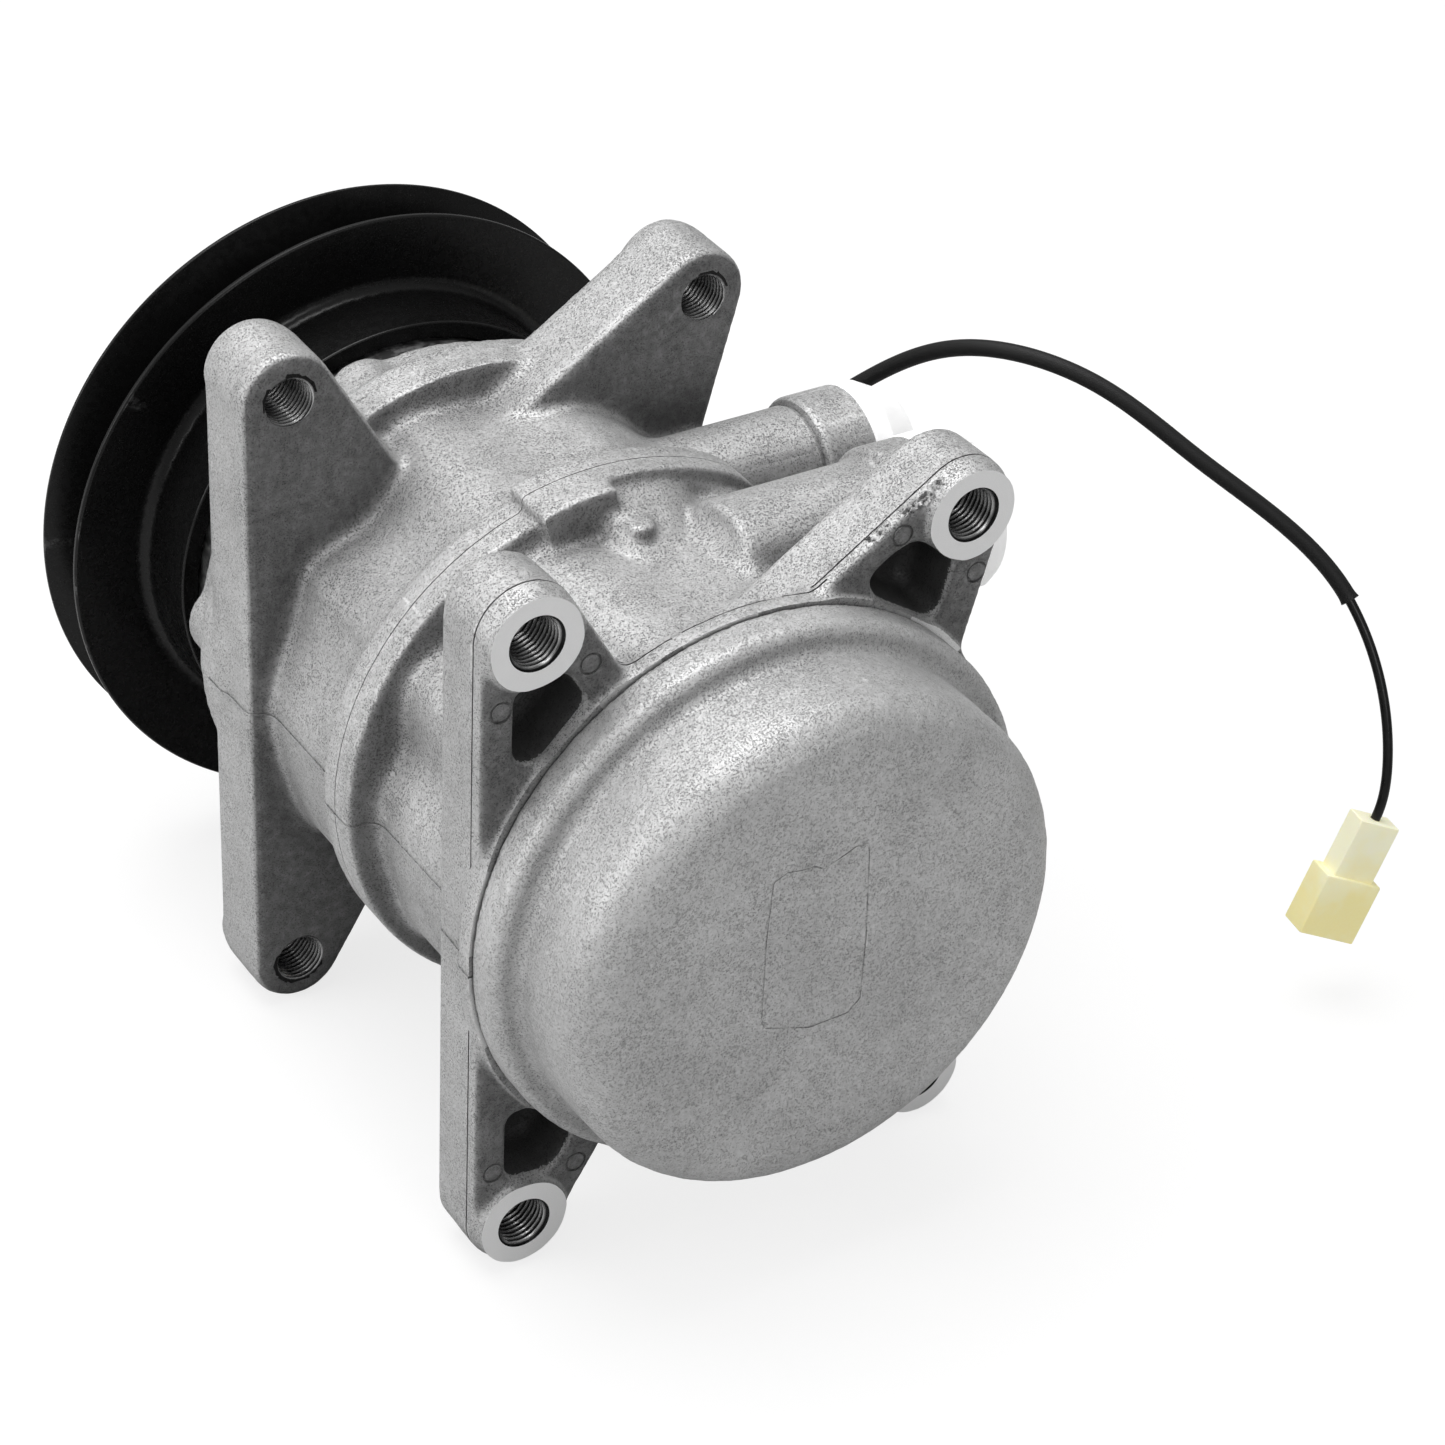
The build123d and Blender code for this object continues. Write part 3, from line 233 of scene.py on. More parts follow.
def shade(ob, angle=30.0):
    me = ob.data
    me.polygons.foreach_set("use_smooth", [True] * len(me.polygons))
    if angle < 179:
        bpy.context.view_layer.objects.active = ob
        for o in bpy.context.selected_objects:
            o.select_set(False)
        ob.select_set(True)
        me.set_sharp_from_angle(angle=math.radians(angle))
        ob.select_set(False)
    me.update()


def apply_all(ob):
    dg = bpy.context.evaluated_depsgraph_get()
    ev = ob.evaluated_get(dg)
    me = bpy.data.meshes.new_from_object(ev, preserve_all_data_layers=True, depsgraph=dg)
    old = ob.data
    ob.modifiers.clear()
    ob.data = me
    bpy.data.meshes.remove(old)
    return ob


def boolean(ob, cutter, op="DIFFERENCE", solver="MANIFOLD", keep=False):
    before = len(ob.data.polygons)
    m = ob.modifiers.new("b", "BOOLEAN")
    m.operation = op
    m.object = cutter
    m.solver = solver
    apply_all(ob)
    if len(ob.data.polygons) == 0 or (len(ob.data.polygons) == before and op != "UNION"):
        print("BOOLEAN no effect:", ob.name, cutter.name, op, before, len(ob.data.polygons))
    if not keep:
        me = cutter.data
        bpy.data.objects.remove(cutter)
        bpy.data.meshes.remove(me)
    return ob


def cut(ob, *solids):
    for s in solids:
        V, F = s
        boolean(ob, make("cutter", V, F, None))
    return ob


# ------------------------------------------------------------------ smoothing of cast shapes through distance fields
def to_tris(F):
    F = np.asarray(F)
    if F.shape[1] == 3:
        return F
    return np.concatenate([F[:, [0, 1, 2]], F[:, [0, 2, 3]]])


def grid_of(V, F, voxel, band):
    F = np.asarray(F, np.uint32)
    V = np.ascontiguousarray(V, np.float32)
    tr = openvdb.createLinearTransform(voxelSize=voxel)
    if F.shape[1] == 3:
        return openvdb.FloatGrid.createLevelSetFromPolygons(V, triangles=F, transform=tr, halfWidth=band)
    return openvdb.FloatGrid.createLevelSetFromPolygons(V, quads=F, transform=tr, halfWidth=band)


def surface_of(grid, iso):
    p, t, q = grid.convertToPolygons(isovalue=iso, adaptivity=0.0)
    return np.array(p, np.float32), np.array(q, np.int64)


def offset_mesh(V, F, d, voxel):
    g = grid_of(V, F, voxel, abs(d) / voxel + 2.0)
    return surface_of(g, d)


def rounded_cast(V, F, concave, convex, voxel=None):
    """Concave edges get fillets of one radius, convex edges are rounded by the other."""
    voxel = voxel or VOX
    V, F = offset_mesh(V, F, concave, voxel)
    V, F = offset_mesh(V, F, -(concave + convex), voxel)
    V, F = offset_mesh(V, F, convex, voxel)
    return V, F


# ------------------------------------------------------------------ sizes shared with the CAD
BOLTS = [(-50.0, -72.0), (-50.0, 72.0), (50.0, -72.0), (50.0, 72.0)]
SEAM_REAR, SEAM_MID, SEAM_FRONT = 0.6, 62.0, 120.2
SUCTION = dict(y=39.0, z=45.8, tube=16.0, collar=18.0, x0=54.5, x1=64.5, mouth=13.0, bore=9.5, deep=30.0)
DISCHARGE = dict(y=85.0, z=34.8, tube=13.8, collar=15.4, x0=65.6, x1=77.8, mouth=11.0, bore=7.5, deep=30.0)


def hull2(points):
    pts = sorted(set((round(float(x), 5), round(float(z), 5)) for x, z in points))

    def half(seq):
        out = []
        for p in seq:
            while len(out) > 1 and (out[-1][0] - out[-2][0]) * (p[1] - out[-2][1]) - (out[-1][1] - out[-2][1]) * (p[0] - out[-2][0]) <= 1e-9:
                out.pop()
            out.append(p)
        return out[:-1]

    return half(pts) + half(pts[::-1])


def layered(outline, layers):
    """Stack of insets of one outline: layers are (y, inset)."""
    pts = np.array(outline, float)
    n = len(pts)
    rings = []
    for y, d in layers:
        out = []
        for i in range(n):
            a, b, c = pts[i - 1], pts[i], pts[(i + 1) % n]
            e0, e1 = (b - a) / np.linalg.norm(b - a), (c - b) / np.linalg.norm(c - b)
            n0, n1 = np.array([-e0[1], e0[0]]), np.array([-e1[1], e1[0]])
            out.append(b + d * (n0 + n1) / max(1.0 + float(n0 @ n1), 0.35))
        rings.append([(p[0], y, p[1]) for p in out])
    V = [p for ring in rings for p in ring]
    F = [list(range(n)), list(range((len(rings) - 1) * n, len(rings) * n))]
    for k in range(len(rings) - 1):
        F += [[k * n + i, k * n + (i + 1) % n, (k + 1) * n + (i + 1) % n, (k + 1) * n + i] for i in range(n)]
    return tri_arrays(V, F)


def soft_layers(y0, y1, r0, r1, draft=0.25, part=None):
    """Rounded ends with radii r0 and r1, and a little draft each way from the parting height."""
    part = y0 + 3.2 if part is None else part
    L = []
    for k in range(5):
        a = math.pi / 2 * k / 4
        L.append((y0 + r0 * (1 - math.sin(a)) if False else y0 + r0 * (1 - math.cos(a)), 0.12 + r0 * (1 - math.sin(a))))
    L.append((part, 0.0))
    for k in range(5):
        a = math.pi / 2 * k / 4
        L.append((y1 - r1 * (1 - math.sin(a)), draft + r1 * (1 - math.cos(a))))
    return L


LEFT_EAR = hull2(circle(-50, 72, 11, 72) + circle(-50, -72, 11, 72) + [(-25, 51.5), (-25, -51.5)])
RIGHT_EAR = hull2(circle(50, 72, 11, 72) + [(-2, 50.6), (14, 16), (46.5, 16)])
RIGHT_EAR_LOW = hull2([(x, -z) for x, z in RIGHT_EAR])
POCKET_L = [(-53.2, 60.6), (-41.8, 61.6), (-37.2, 54.0), (-47.6, 43.4), (-53.2, 43.4)]
POCKET_R = [(27.2, 62.2), (29.4, 57.4), (44.8, 47.4), (48.2, 61.0), (38.4, 68.0), (33.0, 66.2)]


def flip(points):
    return [(x, -z) for x, z in points]


def round_outline(points, r, steps=6):
    return rounded(points, [r] * len(points), steps)


def arc_band(r0, r1, a0, a1, y0, y1, seg=24):
    outer = [(r1 * math.cos(math.radians(a0 + (a1 - a0) * i / seg)), r1 * math.sin(math.radians(a0 + (a1 - a0) * i / seg))) for i in range(seg + 1)]
    inner = [(r0 * math.cos(math.radians(a1 - (a1 - a0) * i / seg)), r0 * math.sin(math.radians(a1 - (a1 - a0) * i / seg))) for i in range(seg + 1)]
    return prism(outer + inner, y0, y1)


def arc_profile(profile, a0, a1, step=1.5, fade0=0.0, span0=1.0, fade1=0.0, span1=1.0):
    """Profile of (radius, y) points swept round the shaft from a0 to a1 degrees. The outer radii drop by fade towards an end."""
    n = max(2, int(round((a1 - a0) / step)))
    m = len(profile)
    rmin = min(r for r, _ in profile)
    V = []
    for i in range(n + 1):
        a = a0 + (a1 - a0) * i / n
        k0, k1 = max(0.0, 1.0 - (a - a0) / span0), max(0.0, 1.0 - (a1 - a) / span1)
        drop = fade0 * k0 * k0 + fade1 * k1 * k1
        c, t = math.cos(math.radians(a)), math.sin(math.radians(a))
        for r, y in profile:
            q = r if r <= rmin + 1e-6 else r - drop
            V.append((q * c, y, q * t))
    F = [list(range(m)), list(range(n * m, (n + 1) * m))]
    for i in range(n):
        F += [[i * m + j, i * m + (j + 1) % m, (i + 1) * m + (j + 1) % m, (i + 1) * m + j] for j in range(m)]
    return tri_arrays(V, F)


def spline_ring(knots, n=240):
    """Closed smooth outline from (degrees, radius) knots."""
    k = sorted((a % 360.0, r) for a, r in knots)
    xs = np.array([k[-2][0] - 360, k[-1][0] - 360] + [a for a, _ in k] + [k[0][0] + 360, k[1][0] + 360])
    ys = np.array([k[-2][1], k[-1][1]] + [r for _, r in k] + [k[0][1], k[1][1]])
    out = []
    for i in range(n):
        t = 360.0 * i / n
        j = int(np.searchsorted(xs, t, side="right")) - 1
        j = min(max(j, 1), len(xs) - 3)
        h = xs[j + 1] - xs[j]
        u = (t - xs[j]) / h
        m0 = (ys[j + 1] - ys[j - 1]) / (xs[j + 1] - xs[j - 1]) * h
        m1 = (ys[j + 2] - ys[j]) / (xs[j + 2] - xs[j]) * h
        r = (2 * u**3 - 3 * u**2 + 1) * ys[j] + (u**3 - 2 * u**2 + u) * m0 + (-2 * u**3 + 3 * u**2) * ys[j + 1] + (u**3 - u**2) * m1
        out.append((r * math.cos(math.radians(t)), r * math.sin(math.radians(t))))
    return out


LOBES_REAR = [(0, 56.8), (12, 55), (20, 52.6), (28, 53.4), (36, 55.2), (48, 54.2), (60, 56), (72, 56.8), (80, 55.2), (86, 54.0), (90, 53.7),
              (95, 54.2), (101, 55.4), (107, 56.3), (112, 55.9), (118, 54.0), (124, 51.6), (130, 51.0), (136, 52.8), (142, 55.7),
              (147, 56.5), (152, 55.0), (157, 52.6), (162, 51.0), (167, 51.6), (173, 53.4), (180, 54.4), (190, 54.6), (200, 54.8),
              (209, 56.0), (216, 56.6), (223, 55.4), (231, 52.6), (238, 51.4), (245, 53.5), (252, 55.2), (260, 54.3), (270, 52),
              (279, 54.6), (288, 56.8), (297, 54.6), (306, 52.2), (315, 53.6), (324, 55.2), (334, 53.6), (346, 54.8)]
LOBES_FRONT = [(a, r + (1.6 if 155 < a < 225 else 0.0) + (1.2 if 160 < a < 172 else 0.0)) for a, r in LOBES_REAR]


def blocks_cast():
    """Both cylinder blocks as one cast shape, to be parted at their seam."""
    y0, y1 = SEAM_REAR - 3.0, SEAM_FRONT + 3.0
    core = [prism(spline_ring(LOBES_REAR), y0, 63.0), prism(spline_ring(LOBES_FRONT), 61.0, y1)]
    for p in (SUCTION, DISCHARGE):
        core.append(rod((16, p["y"], p["z"]), (p["x1"] + 2, p["y"], p["z"]), p["tube"]))
    V, F = join(*core)
    V, F = offset_mesh(V, F, 5.0, VOX * 1.3)
    V, F = offset_mesh(V, F, -5.0, VOX * 1.3)
    parts = [(V, to_tris(F))]
    parts.append(prism(circle(0, 0, 63.6, 192), y0, 5.2))
    parts.append(prism(circle(0, 0, 61.3, 192), 55.9, 67.6))
    parts.append(prism(circle(0, 0, 62.0, 192), 114.1, y1))
    # ears; the rear ones have cored pockets behind their bosses
    for outline, pockets in ((LEFT_EAR, (POCKET_L, flip(POCKET_L))), (RIGHT_EAR, (POCKET_R,)), (RIGHT_EAR_LOW, (flip(POCKET_R),))):
        ear = make("ear", *layered(outline, soft_layers(2.0, 18.0, 1.7, 0.4)), None)
        for pocket in pockets:
            pts = hull2(round_outline(pocket, 2.4))
            cut(ear, layered(pts, [(0.0, -1.4), (2.0, -0.5), (2.8, -0.1), (4.0, 0.0), (15.0, 1.2)]))
        me = ear.data
        V2 = np.array([v.co[:] for v in me.vertices]) / MM
        me.calc_loop_triangles()
        T2 = np.array([t.vertices[:] for t in me.loop_triangles])
        parts.append((V2, T2))
        bpy.data.objects.remove(ear)
    for outline in (LEFT_EAR, RIGHT_EAR, RIGHT_EAR_LOW):
        parts.append(layered(outline, soft_layers(102.2, 120.2, 2.2, 0.5, part=117.0)))
    for x, z in BOLTS:
        parts.append(layered(circle(x, z, 10.0, 64), [(-2.0, 0.0), (2.5, 0.0)]))
        parts.append(layered(circle(x, z, 10.0, 64), [(119.5, 0.0), (123.5, 0.0)]))
    V, F = join(*parts)
    V, F = offset_mesh(V, F, 2.3, VOX)
    V, F = offset_mesh(V, F, -2.3, VOX)
    # crisper features: raised ring band, lug, the sloping pad beside the lug, bump, port collars
    fine = [(V, to_tris(F))]
    fine.append(arc_profile([(52, 57.0), (64.5, 57.0), (64.5, 67.6), (52, 67.6)], 50.0, 106.5, fade0=3.2, span0=14.0))
    fine.append(arc_band(52, 64.5, 90.6, 106.5, 52.4, 62.5))
    fine.append(arc_profile([(50, 37.0), (52.6, 37.0), (55.4, 43.2), (57.0, 46.6), (58.6, 50.0), (60.0, 52.4), (62.3, 56.2), (62.3, 60.0), (50, 60.0)], 63.0, 95.0,
                            fade0=8.0, span0=18.0, fade1=3.0, span1=4.0))
    fine.append(rod((1.2, 46.9, 48), (1.4, 46.9, 58.9), 3.5, 2.9, 40))
    for p in (SUCTION, DISCHARGE):
        fine.append(rod((p["x0"], p["y"], p["z"]), (p["x1"] + 2, p["y"], p["z"]), p["collar"], None, 160))
    V, F = join(*fine)
    return rounded_cast(V, F, 0.9, 0.8)


def thread_cutter(x, z, y0, y1, r_minor=5.3, r_major=6.02, pitch=1.25, chamfer=(0.75, 0.0), seg=40):
    """Rod with a helical thread, used to cut a tapped hole."""
    per = 8
    steps = int(round((y1 - y0) / pitch * per))
    ys = [y0 + (y1 - y0) * i / steps for i in range(steps + 1)]
    ys = [y0 - 1.0, y0 - 0.02] + ys + [y1 + 0.02, y1 + 1.0]
    V = []
    for y in ys:
        for s in range(seg):
            a = 2 * math.pi * s / seg
            t = ((y / pitch) - s / seg) % 1.0
            tri = 1.0 - abs(2.0 * t - 1.0)
            r = r_minor + (r_major - r_minor) * max(0.0, min(1.0, (tri - 0.12) / 0.72))
            r = max(r, r_minor + chamfer[0] + 0.05 - (y - y0)) if chamfer[0] else r
            r = max(r, r_minor + chamfer[1] + 0.05 - (y1 - y)) if chamfer[1] else r
            if y < y0 or y > y1:
                r = max(r, r_minor + 0.05)
            V.append((x + r * math.cos(a), y, z + r * math.sin(a)))
    n = len(ys)
    F = [list(range(seg)), list(range((n - 1) * seg, n * seg))]
    for k in range(n - 1):
        F += [[k * seg + i, k * seg + (i + 1) % seg, (k + 1) * seg + (i + 1) % seg, (k + 1) * seg + i] for i in range(seg)]
    return tri_arrays(V, F)



def bands(points, seg=160):
    """Closed (radius, y) profile turned into a solid, as triangles."""
    v, f = lathe(points, seg)
    return tri_arrays(v, f)


def box(x0, x1, y0, y1, z0, z1):
    return hull([(x, y, z) for x in (x0, x1) for y in (y0, y1) for z in (z0, z1)])


def decimate(ob, ratio):
    m = ob.modifiers.new("d", "DECIMATE")
    m.ratio = ratio
    m.use_collapse_triangulate = True
    return apply_all(ob)


def duplicate(ob, name):
    o = ob.copy()
    o.data = ob.data.copy()
    o.name = name
    o.data.name = name
    bpy.context.scene.collection.objects.link(o)
    return o


def roughen(ob, coarse, fine, seed=0.0):
    """Uneven cast skin: the vertices move along their normals by two scales of noise."""
    me = ob.data
    n = len(me.vertices)
    co = np.zeros(n * 3, np.float32)
    me.vertices.foreach_get("co", co)
    co = co.reshape(-1, 3)
    nor = np.zeros(n * 3, np.float32)
    me.vertex_normals.foreach_get("vector", nor)
    nor = nor.reshape(-1, 3)
    q = co / MM
    f = noise.noise
    h = np.array([coarse * f(Vector((x * 0.28 + seed, y * 0.28, z * 0.28))) + fine * f(Vector((x * 0.9, y * 0.9 + seed, z * 0.9))) for x, y, z in q.tolist()])
    co += nor * (h * MM)[:, None].astype(np.float32)
    me.vertices.foreach_set("co", co.ravel())
    me.update()


MARKS = [(-56.4, 57.2), (-36.9, 62.3), (-56.4, -57.2), (-36.6, -62.4), (34.4, 70.5), (53.7, 56.4), (34.4, -70.5), (53.7, -56.4)]


def flash_line(V, F):
    """Low ridge that the mould's parting plane leaves along the left side."""
    v, f = offset_mesh(V, to_tris(F), 0.30, VOX)
    skin = make("flash", v, f, None)
    decimate(skin, 0.5)
    z = -2.6
    slab = make("slab", *box(-75, -30, -2, 124, z - 0.17, z + 0.17), None)
    boolean(skin, slab, "INTERSECT")
    return skin


def chip_edge(ob):
    """Crumbled stretches on one ear's edge, where the flash broke away: the skin's vertices there are pushed in."""
    me = ob.data
    co = np.zeros(len(me.vertices) * 3, np.float32)
    me.vertices.foreach_get("co", co)
    co = co.reshape(-1, 3)
    nor = np.zeros(len(me.vertices) * 3, np.float32)
    me.vertex_normals.foreach_get("vector", nor)
    nor = nor.reshape(-1, 3)
    q = co / MM
    p0, p1 = np.array((28.0, 70.45)), np.array((43.6, 80.3))
    along = (p1 - p0) / np.linalg.norm(p1 - p0)
    t = ((q[:, [0, 2]] - p0) @ along) / np.linalg.norm(p1 - p0)
    off = np.abs((q[:, [0, 2]] - p0) @ np.array([-along[1], along[0]]))
    near = (t > -0.02) & (t < 1.0) & (off < 1.6) & (np.abs(q[:, 1] - (4.2 - 1.6 * t)) < 1.7)
    for k in np.nonzero(near)[0]:
        x, y, z = (float(a) for a in q[k])
        here = 1.0 if (t[k] < 0.27 or t[k] > 0.45) else 0.15
        edge = max(0.0, 1.0 - abs(y - (4.2 - 1.6 * t[k])) / 1.7)
        h = (noise.noise(Vector((x * 1.5, y * 1.5, z * 1.5))) + 0.12) * 1.3 * here * edge
        inward = -nor[k]
        co[k] += inward * np.float32(max(-0.12, min(0.75, h)) * MM)
    me.vertices.foreach_set("co", co.ravel())
    me.update()


def ear_lines(rear):
    """Parting line round the sides of the rear ears and the flange, with a chipped stretch on one ear."""
    w = 0.22
    for outline, y in ((LEFT_EAR, 5.0), (RIGHT_EAR, 5.1), (RIGHT_EAR_LOW, 5.1)):
        big = [tuple(p) for p in np.array(outline)]
        pts = np.array(big)
        mid = pts.mean(axis=0)
        grown = hull2([tuple(p + (p - mid) / np.linalg.norm(p - mid) * 5.0) for p in pts])
        ring = make("line", *prism(grown, y - w, y + w), None)
        cut(ring, layered(outline, [(y - 2.0, 0.34), (y + 2.0, 0.34)]))
        cut(ring, bands([(0, y - 1), (64.1, y - 1), (64.1, y + 1), (0, y + 1)]))
        boolean(rear, ring)
    # flange: an interrupted line near its inner edge
    for a0, a1 in ((66, 83), (85, 104), (106, 119), (-30, 28), (238, 300)):
        cut(rear, arc_profile([(63.0, 3.92), (66.5, 3.92), (66.5, 4.34), (63.0, 4.34)], a0, a1, 1.0))
    chip_edge(rear)


def build_blocks():
    V, F = blocks_cast()
    flash = flash_line(V, F)
    whole = make("cast", V, F, None)
    decimate(whole, 0.42)
    outward(whole)
    roughen(whole, 0.07, 0.05)
    boolean(whole, flash, "UNION")
    rear = duplicate(whole, "rear_block_casting")
    front = whole
    front.name = "front_block_casting"
    # rear block: machined planes, seam groove, swash chamber, bores
    cut(rear, box(-120, 120, SEAM_MID, 160, -120, 120))
    cut(rear, bands([(59.3, SEAM_MID - 0.13), (90, SEAM_MID - 0.13), (90, SEAM_MID + 2), (59.3, SEAM_MID + 2)]))
    ear_lines(rear)
    cut(rear, bands([(0, -9), (150, -9), (150, 0), (66, 0), (66, SEAM_REAR), (0, SEAM_REAR)]))
    chamber = [(0, 0.0), (9.6, 0.0), (9.6, 12.0), (13, 12.0), (13, 42.2), (20.6, 42.2), (20.6, 46.8), (45.2, 46.8), (45.2, 63), (0, 63)]
    cut(rear, bands(chamber, 96))
    holes = [rod((36 * math.cos(math.radians(72 * k)), -1, 36 * math.sin(math.radians(72 * k))),
                 (36 * math.cos(math.radians(72 * k)), 64, 36 * math.sin(math.radians(72 * k))), 14.5, None, 64) for k in range(5)]
    holes += [rod((49 * math.cos(math.radians(72 * k + 36)), -1, 49 * math.sin(math.radians(72 * k + 36))),
                  (49 * math.cos(math.radians(72 * k + 36)), 64, 49 * math.sin(math.radians(72 * k + 36))), 3.4, None, 32) for k in range(5)]
    holes += [thread_cutter(x, z, 0.0, 18.0, chamfer=(0.8, 0.0)) for x, z in BOLTS]
    holes += [bands([(56.8, 60.1), (59.0, 60.1), (59.0, 63), (56.8, 63)])]
    p = SUCTION
    ring = [(0, p["x1"] + 4), (p["mouth"] + 0.7, p["x1"] + 4), (p["mouth"] + 0.7, p["x1"]), (p["mouth"], p["x1"] - 0.7),
            (p["mouth"], p["x1"] - 8), (p["bore"] + 0.6, p["x1"] - 8), (p["bore"], p["x1"] - 8.6), (p["bore"], p["x1"] - p["deep"]), (0, p["x1"] - p["deep"])]
    holes.append(port_solid(ring, p))
    cut(rear, join(*holes))
    cut(rear, box(p["x1"], p["x1"] + 9, p["y"] - 22, p["y"] + 22, p["z"] - 22, p["z"] + 22))
    marks = [ejector_mark(x, z) for x, z in MARKS]
    cut(rear, join(*marks))
    # front block
    cut(front, box(-120, 120, -60, SEAM_MID, -120, 120))
    cut(front, bands([(59.3, SEAM_MID - 2), (90, SEAM_MID - 2), (90, SEAM_MID + 0.10), (59.3, SEAM_MID + 0.10)]))
    cut(front, bands([(0, 130), (150, 130), (150, 121.5), (66, 121.5), (66, SEAM_FRONT), (0, SEAM_FRONT)]))
    chamber = [(0, 61.0), (45.2, 61.0), (45.2, 74.0), (20.6, 74.0), (20.6, 78.6), (13, 78.6), (13, 108.8), (10.4, 108.8), (10.4, 122), (0, 122)]
    cut(front, bands(chamber, 96))
    holes = [rod((36 * math.cos(math.radians(72 * k)), 60, 36 * math.sin(math.radians(72 * k))),
                 (36 * math.cos(math.radians(72 * k)), 124, 36 * math.sin(math.radians(72 * k))), 14.5, None, 64) for k in range(5)]
    holes += [rod((49 * math.cos(math.radians(72 * k + 36)), 60, 49 * math.sin(math.radians(72 * k + 36))),
                  (49 * math.cos(math.radians(72 * k + 36)), 124, 49 * math.sin(math.radians(72 * k + 36))), 3.4, None, 32) for k in range(5)]
    holes += [thread_cutter(x, z, 102.2, 121.5, chamfer=(0.0, 0.8)) for x, z in BOLTS]
    p = DISCHARGE
    ring = [(0, p["x1"] + 4), (p["mouth"] + 0.7, p["x1"] + 4), (p["mouth"] + 0.7, p["x1"]), (p["mouth"], p["x1"] - 0.7),
            (p["mouth"], p["x1"] - 8), (p["bore"] + 0.6, p["x1"] - 8), (p["bore"], p["x1"] - 8.6), (p["bore"], p["x1"] - p["deep"]), (0, p["x1"] - p["deep"])]
    holes.append(port_solid(ring, p))
    cut(front, join(*holes))
    cut(front, box(p["x1"], p["x1"] + 9, p["y"] - 22, p["y"] + 22, p["z"] - 22, p["z"] + 22))
    # relief line where the turned collar begins
    cut(front, port_solid([(13.72, p["x0"] - 1.5), (16.2, p["x0"] - 2.2), (16.2, p["x0"] + 0.25), (13.5, p["x0"] - 0.5)], p))
    return rear, front


def port_solid(profile, p, seg=96):
    """Profile of (radius, x) turned about a port's axis."""
    v, f = lathe(profile, seg)
    v = np.array([(y, r0 + p["y"], z + p["z"]) for r0, y, z in v])
    return tri_arrays(v, f)


def ejector_mark(x, z, r=2.5, y=2.0):
    """Shallow round step left by an ejector pin: a thin annular groove with a slightly sunk middle."""
    v, f = lathe([(0, y - 1.0), (r, y - 1.0), (r, y + 0.42), (r - 0.5, y + 0.42), (r - 0.56, y + 0.16), (0, y + 0.16)], 40)
    v = np.array([(a + x, b, c + z) for a, b, c in v])
    return tri_arrays(v, f)


